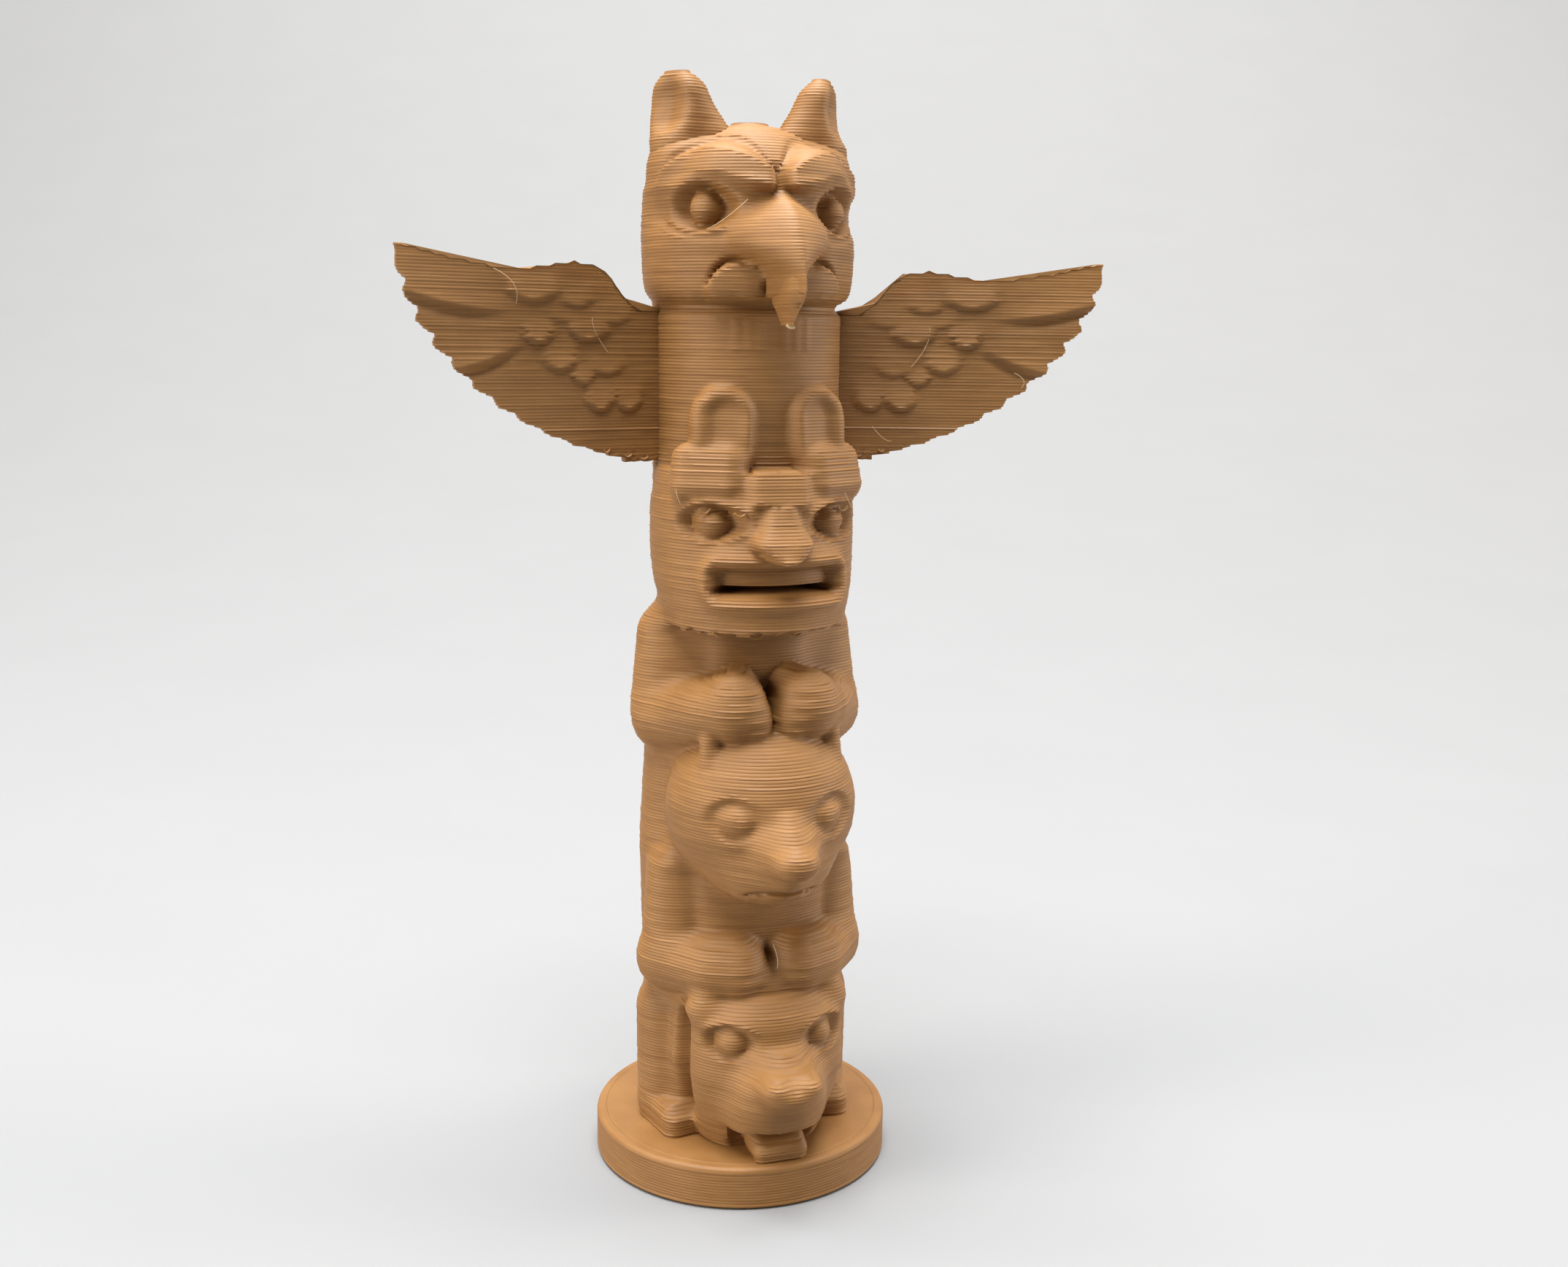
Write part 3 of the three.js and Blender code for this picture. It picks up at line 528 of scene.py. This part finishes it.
def sagging(angles, heights):
    """How far the strands of each overhang hang down, uneven from strand to strand."""
    strands = RNG.normal(0.0, 1.0, len(angles))
    strands = (strands + np.roll(strands, 1)) * facing(angles, limit=100, fade=30)
    near = sum(drop * bell(heights, at, OVERHANG_REACH) for at, drop in OVERHANGS)
    return np.clip(strands, -MOST_SAG, MOST_SAG) * near[:, None]


def shell(forms, centre, low, high, angles, start, relief=None):
    """Forms as a printed skin round an upright line at the centre, met from a starting radius inwards."""
    heights = layer_heights(low, high)
    sag = sagging(angles, heights) if relief else 0.0
    radius = radii(forms, centre, heights, angles, start, sag)
    if relief:
        radius = radius + relief(angles, heights)
    return printed(radius, centre, heights, angles)


def mirrored(shape):
    """The same shape on the other side of x = 0, its faces turned to look out again."""
    return dict(shape, verts=shape["verts"] * [-1, 1, 1], faces=[faces[:, ::-1] for faces in shape["faces"]])


# ---- wings ----
WING_COLUMNS = 44  # along the front; a quarter as many along the plain back
WING_ROOT = 7.2  # where the rings start, inside the pole
WING_INNER = 9.0  # where the curve of the lower edge starts
WING_SPAN = 31.4
WING_LOW = 66.05
WING_DROP = 17.9  # height of the curve of the lower edge
WING_BOW = 1.8  # exponent of that curve: 2 would be an ellipse
TIP_HEIGHT = 84.0
SHOULDER = 9.8
SWEEP = 0.29  # how far forward the wing goes for each millimetre outwards
FEATHER_END = 2.4  # length of one feather's end along the lower edge
FEATHER_RISE = 1.2  # deepens all the relief of the feathers alike
LOOP_WIDTH = 1.25  # loops in which the lowest strands hang
LOOP_DROP = 0.4


def wing_top(x):
    """Height of the top edge: from the notch up to the shoulder, a shallow dip, and up to the tip."""
    spans = [7, 9.8, 10.7, 11.8, 12.9, 14, 16, 18.3, 20.5, 23.5, 27.4, 29.8, 31.2, 31.5]
    tops = [79, 79.0, 79.15, 80.2, 81.7, 82.6, 82.95, 82.55, 82.3, 82.35, 82.95, 83.6, 83.8, 83.8]
    return np.interp(x, spans, tops)


def wing_reach(z):
    """How far out the lower edge lies at a height: an oval of exponent 1.8, notched between the feathers."""
    t = np.clip((TIP_HEIGHT - z) / WING_DROP, 0, 1)
    x = WING_INNER + (WING_SPAN - WING_INNER) * (1 - t ** WING_BOW) ** (1 / WING_BOW)
    along = np.cumsum(np.hypot(np.gradient(x), np.gradient(z)))
    notch, lobe, ragged = 0.45, 0.7, 0.05
    bite = notch - lobe * abs(np.sin(np.pi * along / FEATHER_END)) + ragged * RNG.normal(size=x.shape)
    return x - bite * np.minimum(1, t * 5)  # the first feather starts from the bare tip


def wing_face(x):
    """y of the wing's plain front: it comes forward by SWEEP for each millimetre beyond the shoulder."""
    return -0.7 - SWEEP * (x - SHOULDER)


def feather_relief(x, z):
    """How far the front stands out: round-ended feathers, highest at their lower rims, and two long folds."""
    out = np.zeros_like(x)
    feathers = [  # middle, lower rim, half width, length, height
        (14.9, 76.1, 2.0, 3.0, 0.34), (19.5, 75.8, 1.35, 2.4, 0.38), (17.6, 73.6, 1.6, 2.4, 0.34),
        (13.2, 73.2, 1.7, 2.6, 0.22), (15.4, 72.5, 1.2, 2.0, 0.26), (13.9, 70.2, 1.4, 2.8, 0.36),
        (11.2, 70.2, 1.35, 2.8, 0.34), (19.9, 79.3, 2.4, 2.6, 0.34), (16.0, 78.9, 1.6, 2.2, 0.22),
        (12.4, 77.6, 1.6, 2.4, 0.16), (17.3, 77.7, 1.5, 1.8, 0.12),
    ]
    for middle, rim, half, length, height in feathers:
        u = (x - middle) / half
        up = (z - (rim + 0.9 * u ** 2)) / length
        rise = np.clip(up / 0.12, 0, 1) * np.clip(1 - up, 0, 1) ** 1.3
        out = np.maximum(out, FEATHER_RISE * height * rise * np.clip((1 - u ** 2) * 2.5, 0, 1))
    folds = [  # outer end, inner end, height
        ((31.0, 79.9), (22.5, 78.5), 0.34), ((26.8, 73.6), (20.8, 75.9), 0.34),
    ]
    for (x1, z1), (x2, z2), height in folds:
        t = (x1 - x) / (x1 - x2)
        line = z1 + (z2 - z1) * t - 0.35 * np.sin(np.pi * np.clip(t, 0, 1))
        up = z - line
        ridge = np.clip(up / 0.5 + 0.5, 0, 1) * np.exp(-np.maximum(up, 0) / 1.6)
        dip = -0.6 * bell(up, -0.5, 0.45)
        fade = np.clip(t * 6 + 1, 0, 1) * np.clip((1.05 - t) * 2.2, 0, 1)
        out = out + FEATHER_RISE * height * (ridge + dip) * fade
    return out


def wing():
    """Rings, one per layer and one between: out along the front and back along the rear."""
    heights = layer_heights(WING_LOW, TIP_HEIGHT - 0.1)
    reach = wing_reach(heights)[:, None]
    share = np.concatenate([np.linspace(0, 1, WING_COLUMNS), np.linspace(1, 0, WING_COLUMNS // 4)])
    behind = np.arange(len(share)) >= WING_COLUMNS
    crest = WING_ROOT + (reach - WING_ROOT) * share
    wander = RNG.normal(0.0, WANDER, len(heights))[:, None]
    x = ring_rows(crest, np.minimum(crest[1:], crest[:-1]), crest[0], crest[-1])
    z = ring_heights(heights)[:, None]
    sunk = ring_rows(0 * wander, BEAD, BEAD, BEAD)
    uneven = ring_rows(wander, 0, 0, 0)
    # the wing gets a little thinner outwards, and at its very edge
    thick = 1.5 - 0.4 * (x - WING_INNER) / 22
    edge = np.sqrt(0.8 + 0.2 * np.clip((x.max(axis=1, keepdims=True) - x) / 0.2, 0, 1))
    front = wing_face(x) - (0.05 + feather_relief(x, z) + uneven - sunk) * edge
    rear = wing_face(x) + (thick - sunk) * edge
    # the top is cut at a whole layer, and the lowest strands hang down in loops of uneven width
    top = np.floor(wing_top(x) / LAYER) * LAYER
    loops = abs(np.sin(np.pi * x / LOOP_WIDTH + 0.9 * np.sin(1.7 * x)))
    hang = LOOP_DROP * loops * np.exp(-(z - WING_LOW) / 0.45)
    return closed_tube(np.stack([x, np.where(behind, rear, front), np.minimum(z, top) - hang], -1))


def base_disc():
    """Lathe of the disc's section: underside, side, rounded top edge, a fine ring-shaped groove, the top."""
    corner = np.linspace(0, np.pi / 2, 6)
    bevel = 0.3
    r, z = [0.01, BASE_RADIUS - bevel, BASE_RADIUS], [0.0, 0.0, bevel]
    side = np.linspace(bevel, BASE_HEIGHT - BASE_EDGE, 25)[1:-1]
    r += list(BASE_RADIUS - BEAD * (np.arange(len(side)) % 2))
    z += list(side)
    r += list(BASE_RADIUS - BASE_EDGE + BASE_EDGE * np.cos(corner))
    z += list(BASE_HEIGHT - BASE_EDGE + BASE_EDGE * np.sin(corner))
    groove = BASE_RADIUS - BASE_EDGE - 0.5
    r += [groove + 0.12, groove, groove - 0.12, 0.01]
    z += [BASE_HEIGHT, BASE_HEIGHT - 0.07, BASE_HEIGHT, BASE_HEIGHT]
    a = np.linspace(-np.pi, np.pi, BASE_COLUMNS, endpoint=False)
    r, z = np.array(r)[:, None], np.array(z)[:, None]
    return closed_tube(np.stack([r * np.sin(a), -r * np.cos(a), z + 0 * a], -1))


# ---- what the nozzle leaves behind ----
STRAND = 0.11  # radius of a loose strand under an overhang
STRAND_PALE = 0.15
HAIR_PALE = 1.0
ASIDE = [0.3, 0.9, 0.31]  # a direction in which no hair runs


def thread(a, b, bow, thick, pale):
    """Four-sided hair of plastic from a to b, bent by bow at its middle: a + (b - a) t + 4 bow t (1 - t)."""
    t = np.linspace(0, 1, 9)[:, None]
    path = np.add(a, np.subtract(b, a) * t) + 4 * np.array(bow) * t * (1 - t)
    along = np.gradient(path, axis=0)
    along /= np.linalg.norm(along, axis=1, keepdims=True)
    side = np.cross(along, ASIDE)
    side /= np.linalg.norm(side, axis=1, keepdims=True)
    other = np.cross(along, side)
    angle = np.arange(4) * np.pi / 2
    ring = side[:, None] * np.cos(angle)[None, :, None] + other[:, None] * np.sin(angle)[None, :, None]
    return closed_tube(path[:, None] + thick * ring, ribbed=False, pale=pale)


def on_wing(x, z, off=0.17):
    """A place in front of a wing's plain face, on the left (x below 0) or the right."""
    return [x, wing_face(abs(x)) - off, z]


def on_pole(turn, z, r):
    """A place at a turn from the front in degrees, a height and a distance from the pole's axis."""
    return [r * np.sin(np.radians(turn)), -r * np.cos(np.radians(turn)), z]


def threads():
    """Hairs that cross the hollows, loops that hang under the wings and the mask, and a blob on the beak."""
    hairs = [  # from, to, bow, thickness
        (on_wing(-23.3, 82.0), on_wing(-21.4, 79.2), [0.7, -0.2, 0.2], 0.021),
        (on_wing(-14.6, 78.2), on_wing(-13.2, 75.3), [-0.5, -0.3, 0.3], 0.021),
        (on_wing(14.8, 74.3), on_wing(16.3, 77.9), [0.5, -0.3, 0.2], 0.021),
        (on_wing(23.9, 73.9), on_wing(24.6, 72.6), [0.4, -0.3, 0.0], 0.024),
        (on_wing(11.5, 68.9), on_wing(13.2, 67.6), [0.0, -0.4, -0.4], 0.021),
        (on_pole(-38, 85.5, 9.9), on_pole(-18, 87.8, 11.2), [-0.2, -0.3, -0.3], 0.018),
        (on_pole(-1, 23.4, 9.9), on_pole(1, 21.2, 10.2), [0.1, -0.3, 0.0], 0.021),
        (on_pole(34, 63.6, 10.9), on_pole(42, 62.3, 10.6), [0.2, -0.2, -0.5], 0.021),
        (on_pole(-52, 64.3, 10.6), on_pole(-50, 62.6, 10.4), [-0.2, -0.3, 0.0], 0.021),
    ]
    under_wings = [  # x, height, width of the loop, how far it hangs
        (-9.8, 66.3, 0.9, 0.25), (-11.3, 66.5, 0.7, 0.2), (-13.3, 67.0, 0.6, 0.25),
        (10.4, 66.4, 0.8, 0.25), (12.4, 66.8, 0.6, 0.2),
    ]
    under_mask = [  # turn, height, distance from the axis, width of the loop, how far it hangs
        (-30, 51.7, 10.0, 1.2, 0.35), (-12, 51.7, 10.2, 1.4, 0.4), (8, 51.7, 10.2, 1.2, 0.3),
        (-38, 62.3, 10.0, 1.0, 0.35), (-20, 62.1, 10.4, 1.1, 0.3), (40, 62.3, 10.0, 1.0, 0.4),
    ]
    loops = [(on_wing(x, z, off=0.05), wide, drop) for x, z, wide, drop in under_wings]
    loops += [(on_pole(turn, z, r), wide, drop) for turn, z, r, wide, drop in under_mask]
    made = [thread(a, b, bow, thick, HAIR_PALE) for a, b, bow, thick in hairs]
    for place, wide, drop in loops:
        a, b = np.add(place, [-wide / 2, 0, 0]), np.add(place, [wide / 2, 0, 0])
        made.append(thread(a, b, [0, 0, -drop], STRAND, STRAND_PALE))
    blob_on_beak = thread([-0.25, -11.6, 77.85], [0.3, -11.8, 77.7], [0, -0.05, -0.1], 2 * STRAND, HAIR_PALE)
    return made + [blob_on_beak]


# ---- meshes ----

def linked(name, data):
    """A new object for some data, put in the scene."""
    obj = bpy.data.objects.new(name, data)
    bpy.context.scene.collection.objects.link(obj)
    return obj


def mark_sharp(mesh, groove):
    """Draws an edge sharp where both its ends lie in a groove, or where its faces meet steeply."""
    ends = np.zeros(len(mesh.edges) * 2, np.int32)
    mesh.edges.foreach_get("vertices", ends)
    mesh.set_sharp_from_angle(angle=SHARP_ANGLE)
    steep = np.zeros(len(mesh.edges), bool)
    if "sharp_edge" in mesh.attributes:
        mesh.attributes["sharp_edge"].data.foreach_get("value", steep)
    else:
        mesh.attributes.new("sharp_edge", "BOOLEAN", "EDGE")
    sharp = steep | groove[ends.reshape(-1, 2)].all(axis=1)
    mesh.attributes["sharp_edge"].data.foreach_set("value", sharp)


def make_mesh(name, shapes):
    """One mesh from several closed shapes, in metres."""
    starts = np.cumsum([0] + [len(shape["verts"]) for shape in shapes])
    faces = [part + start for shape, start in zip(shapes, starts) for part in shape["faces"]]
    quads = np.concatenate([part for part in faces if part.shape[1] == 4])
    tris = np.concatenate([part for part in faces if part.shape[1] == 3])
    corners = np.concatenate([quads.ravel(), tris.ravel()])
    firsts = np.concatenate([np.arange(len(quads)) * 4, quads.size + np.arange(len(tris)) * 3])
    pale = np.concatenate([np.full(len(shape["verts"]), shape["pale"], np.float32) for shape in shapes])
    mesh = bpy.data.meshes.new(name)
    mesh.vertices.add(int(starts[-1]))
    mesh.vertices.foreach_set("co", np.concatenate([shape["verts"] for shape in shapes]).ravel() * MM)
    mesh.loops.add(len(corners))
    mesh.loops.foreach_set("vertex_index", corners.astype(np.int32))
    mesh.polygons.add(len(firsts))
    mesh.polygons.foreach_set("loop_start", firsts.astype(np.int32))
    mesh.polygons.foreach_set("use_smooth", np.ones(len(firsts), bool))
    mesh.update(calc_edges=True)
    mark_sharp(mesh, np.concatenate([shape["groove"] for shape in shapes]))
    mesh.attributes.new("pale", "FLOAT", "POINT").data.foreach_set("value", pale)
    mesh.validate()
    return linked(name, mesh)


# ---- materials; patterns are given by how many there are in a millimetre ----
STREAKS = 0.22  # along a bead, one each 4.5 mm
BLOTCHES = 0.33
PITS = 2.6
PAPER_PATCHES = 0.03


def linear(hex_colour):
    """sRGB hex to the linear colour that shaders use."""
    channels = [int(hex_colour[i:i + 2], 16) / 255 for i in (1, 3, 5)]
    return [c / 12.92 if c <= 0.04045 else ((c + 0.055) / 1.055) ** 2.4 for c in channels] + [1.0]


def add(material, kind, settings=None, links=None):
    """Adds a node, sets its properties and sockets, and links its inputs to other nodes' outputs."""
    node = material.node_tree.nodes.new(kind)
    for key, value in (settings or {}).items():
        if key in node.inputs:
            node.inputs[key].default_value = value
        else:
            setattr(node, key, value)
    for key, socket in (links or {}).items():
        material.node_tree.links.new(socket, node.inputs[key])
    return node


def blank(name):
    """A material without nodes, and the object's own coordinates in it."""
    material = bpy.data.materials.new(name)
    material.use_nodes = True
    material.node_tree.nodes.clear()
    return material, add(material, "ShaderNodeTexCoord").outputs["Object"]


def printed_pla():
    """Tan PLA, melted bead on bead: satin, slightly translucent, each bead a touch lighter or darker."""
    m, place = blank("printed tan PLA")
    # streaks along the beads: noise stretched along a layer, squeezed across it
    scale = (STREAKS / MM, STREAKS / MM, 1 / (LAYER * MM))
    squeeze = add(m, "ShaderNodeMapping", {"Scale": scale}, {"Vector": place})
    squeezed = squeeze.outputs["Vector"]
    streak = add(m, "ShaderNodeTexNoise", {"Scale": 1.0, "Detail": 2.0}, {"Vector": squeezed})
    blotch = add(m, "ShaderNodeTexNoise", {"Scale": BLOTCHES / MM, "Detail": 2.0}, {"Vector": place})
    mixed = add(m, "ShaderNodeMix", {"Factor": 0.3}, {"A": streak.outputs["Fac"], "B": blotch.outputs["Fac"]})
    # hairs of plastic are thin enough to look nearly white
    pale = add(m, "ShaderNodeAttribute", {"attribute_name": "pale"})
    shade = add(m, "ShaderNodeMath", {"operation": "ADD"},
                {0: mixed.outputs["Result"], 1: pale.outputs["Fac"]})
    colour = add(m, "ShaderNodeValToRGB", links={"Fac": shade.outputs["Value"]})
    stops = colour.color_ramp.elements
    stops[0].position = 0.38
    stops[0].color = linear("#835A2C")
    stops[1].position = 0.62
    stops[1].color = linear("#8F6535")
    stops.new(0.9).color = linear("#8F6535")
    stops.new(1.0).color = linear("#C9B08A")
    rough = add(m, "ShaderNodeMapRange", {"To Min": 0.52, "To Max": 0.66}, {"Value": streak.outputs["Fac"]})
    pits = add(m, "ShaderNodeTexNoise", {"Scale": PITS / MM, "Detail": 3.0}, {"Vector": place})
    bump = add(m, "ShaderNodeBump", {"Strength": 0.25, "Distance": 0.06 * MM},
               {"Height": pits.outputs["Fac"]})
    shader = add(m, "ShaderNodeBsdfPrincipled",
                 {"IOR": 1.46, "Subsurface Weight": 0.08, "Subsurface Scale": 0.6 * MM,
                  "Subsurface Radius": (1.0, 0.55, 0.3)},
                 {"Base Color": colour.outputs["Color"], "Roughness": rough.outputs["Result"],
                  "Normal": bump.outputs["Normal"]})
    add(m, "ShaderNodeOutputMaterial", links={"Surface": shader.outputs["BSDF"]})
    return m


def studio_paper():
    """White paper sweep: matt, with the faint mottling of its fibres."""
    m, place = blank("studio paper")
    fibre = add(m, "ShaderNodeTexNoise", {"Scale": PAPER_PATCHES / MM, "Detail": 4.0}, {"Vector": place})
    colour = add(m, "ShaderNodeValToRGB", links={"Fac": fibre.outputs["Fac"]})
    colour.color_ramp.elements[0].color = linear("#878787")
    colour.color_ramp.elements[1].color = linear("#8A8A8A")
    shader = add(m, "ShaderNodeBsdfPrincipled", {"Roughness": 0.9}, {"Base Color": colour.outputs["Color"]})
    add(m, "ShaderNodeOutputMaterial", links={"Surface": shader.outputs["BSDF"]})
    return m


# ---- studio, in metres; the camera's own place in mm ----
AZIMUTH, PITCH, ROLL = np.radians(-18.489), np.radians(10.243), np.radians(0.849)
CAMERA_HEIGHT, CAMERA_DISTANCE, CAMERA_ASIDE = 76.739, 148.382, -3.555
LENS, SENSOR = 37.55, 36
CLIP_START = 0.005


def camera():
    """Camera at its distance in front of the axis, turned to look down by PITCH and tipped by ROLL."""
    back = Vector((np.sin(AZIMUTH), -np.cos(AZIMUTH), 0))
    right = Vector((np.cos(AZIMUTH), np.sin(AZIMUTH), 0))
    ahead = -back * np.cos(PITCH) - Vector((0, 0, 1)) * np.sin(PITCH)
    up = right.cross(ahead)
    place = back * CAMERA_DISTANCE + Vector((0, 0, CAMERA_HEIGHT)) - right * CAMERA_ASIDE
    across = right * np.cos(ROLL) + up * np.sin(ROLL)
    above = up * np.cos(ROLL) - right * np.sin(ROLL)
    data = bpy.data.cameras.new("camera")
    data.lens = LENS
    data.sensor_width = SENSOR
    data.clip_start = CLIP_START
    obj = linked("camera", data)
    rotation = Matrix((across, above, -ahead)).transposed().to_4x4()
    obj.matrix_world = Matrix.Translation(place * MM) @ rotation
    bpy.context.scene.camera = obj


def soft_light(name, place, target, size, power, colour="#FFFFFF"):
    """Round lamp at a place, aimed at a target."""
    data = bpy.data.lights.new(name, "AREA")
    data.shape = "DISK"
    data.size = size
    data.energy = power
    data.color = linear(colour)[:3]
    way = Vector(target) - Vector(place)
    turn = way.to_track_quat("-Z", "Y").to_matrix().to_4x4()
    linked(name, data).matrix_world = Matrix.Translation(Vector(place)) @ turn


def towards_camera(x, y, z):
    """A place given as across, behind and up as the camera faces, turned to the scene's axes."""
    c, s = np.cos(AZIMUTH), np.sin(AZIMUTH)
    return c * x - s * y, s * x + c * y, z


def paper_sweep():
    """Floor that curves up into a back wall, square to the camera: flat, a quarter round, then upright."""
    near, depth, radius, top, half_width = -1.5, 0.15, 1.3, 2.2, 3.0
    bend = np.linspace(0, np.pi / 2, 32)
    y = np.concatenate([[near], depth + radius * np.sin(bend), [depth + radius]])
    z = np.concatenate([[0.0], radius - radius * np.cos(bend), [top]])
    x = np.array([-half_width, half_width])
    verts = np.stack(towards_camera(np.tile(x, len(y)), np.repeat(y, 2), np.repeat(z, 2)), -1)
    i = np.arange(len(y) - 1) * 2
    faces = np.stack([i, i + 1, i + 3, i + 2], -1)
    mesh = bpy.data.meshes.new("paper_sweep")
    mesh.from_pydata(verts.tolist(), [], faces.tolist())
    mesh.polygons.foreach_set("use_smooth", np.ones(len(faces), bool))
    mesh.materials.append(studio_paper())
    linked("paper_sweep", mesh)


def studio():
    """Paper, a little even light from all round, and four soft lamps."""
    paper_sweep()
    world = bpy.data.worlds.new("studio")
    world.use_nodes = True
    sky = world.node_tree.nodes["Background"].inputs
    sky["Color"].default_value = linear("#FFFFFF")
    sky["Strength"].default_value = 0.02
    bpy.context.scene.world = world
    middle, cool, warm = (0, 0, 0.05), "#FAFCFF", "#FFF9F2"
    soft_light("overhead", towards_camera(-0.04, -0.12, 0.52), middle, size=0.4, power=5.8, colour=cool)
    soft_light("left", towards_camera(-0.97, -0.5, 0.4), middle, size=0.6, power=12.2, colour=warm)
    soft_light("right", towards_camera(1.08, 0.1, 0.4), middle, size=0.6, power=10.2, colour=warm)
    wall = towards_camera(0, 1.4, 0.7)
    soft_light("backdrop", towards_camera(0, 0.3, 1.4), wall, size=1.2, power=51.0)
    bpy.context.scene.view_settings.view_transform = "Standard"


def totem_pole():
    """The whole print as one mesh, with the same ear and the same wing on both sides."""
    forms = trunk() + eagle_head() + mask_figure() + bear() + second_bear()
    pole_angles = front_angles(POLE_COLUMNS, POLE_CROWD)
    ear_angles = np.linspace(-np.pi, np.pi, EAR_COLUMNS, endpoint=False)
    ear_shape = shell(ear(), EAR_MIDDLE, low=91.2, high=99.2, angles=ear_angles, start=7)
    wing_shape = wing()
    shapes = [
        base_disc(),
        shell(forms, (0, 0), low=3.5, high=POLE_TOP, angles=pole_angles, start=19, relief=carving),
        shell(hook(), (0, HOOK_MIDDLE), low=77.6, high=82.4, angles=ear_angles, start=6),
        ear_shape,
        mirrored(ear_shape),
        wing_shape,
        mirrored(wing_shape),
        *threads(),
    ]
    pole = make_mesh("printed_totem_pole", shapes)
    pole.data.materials.append(printed_pla())
    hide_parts("totem_pole")
    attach(pole, "root")


totem_pole()
camera()
studio()
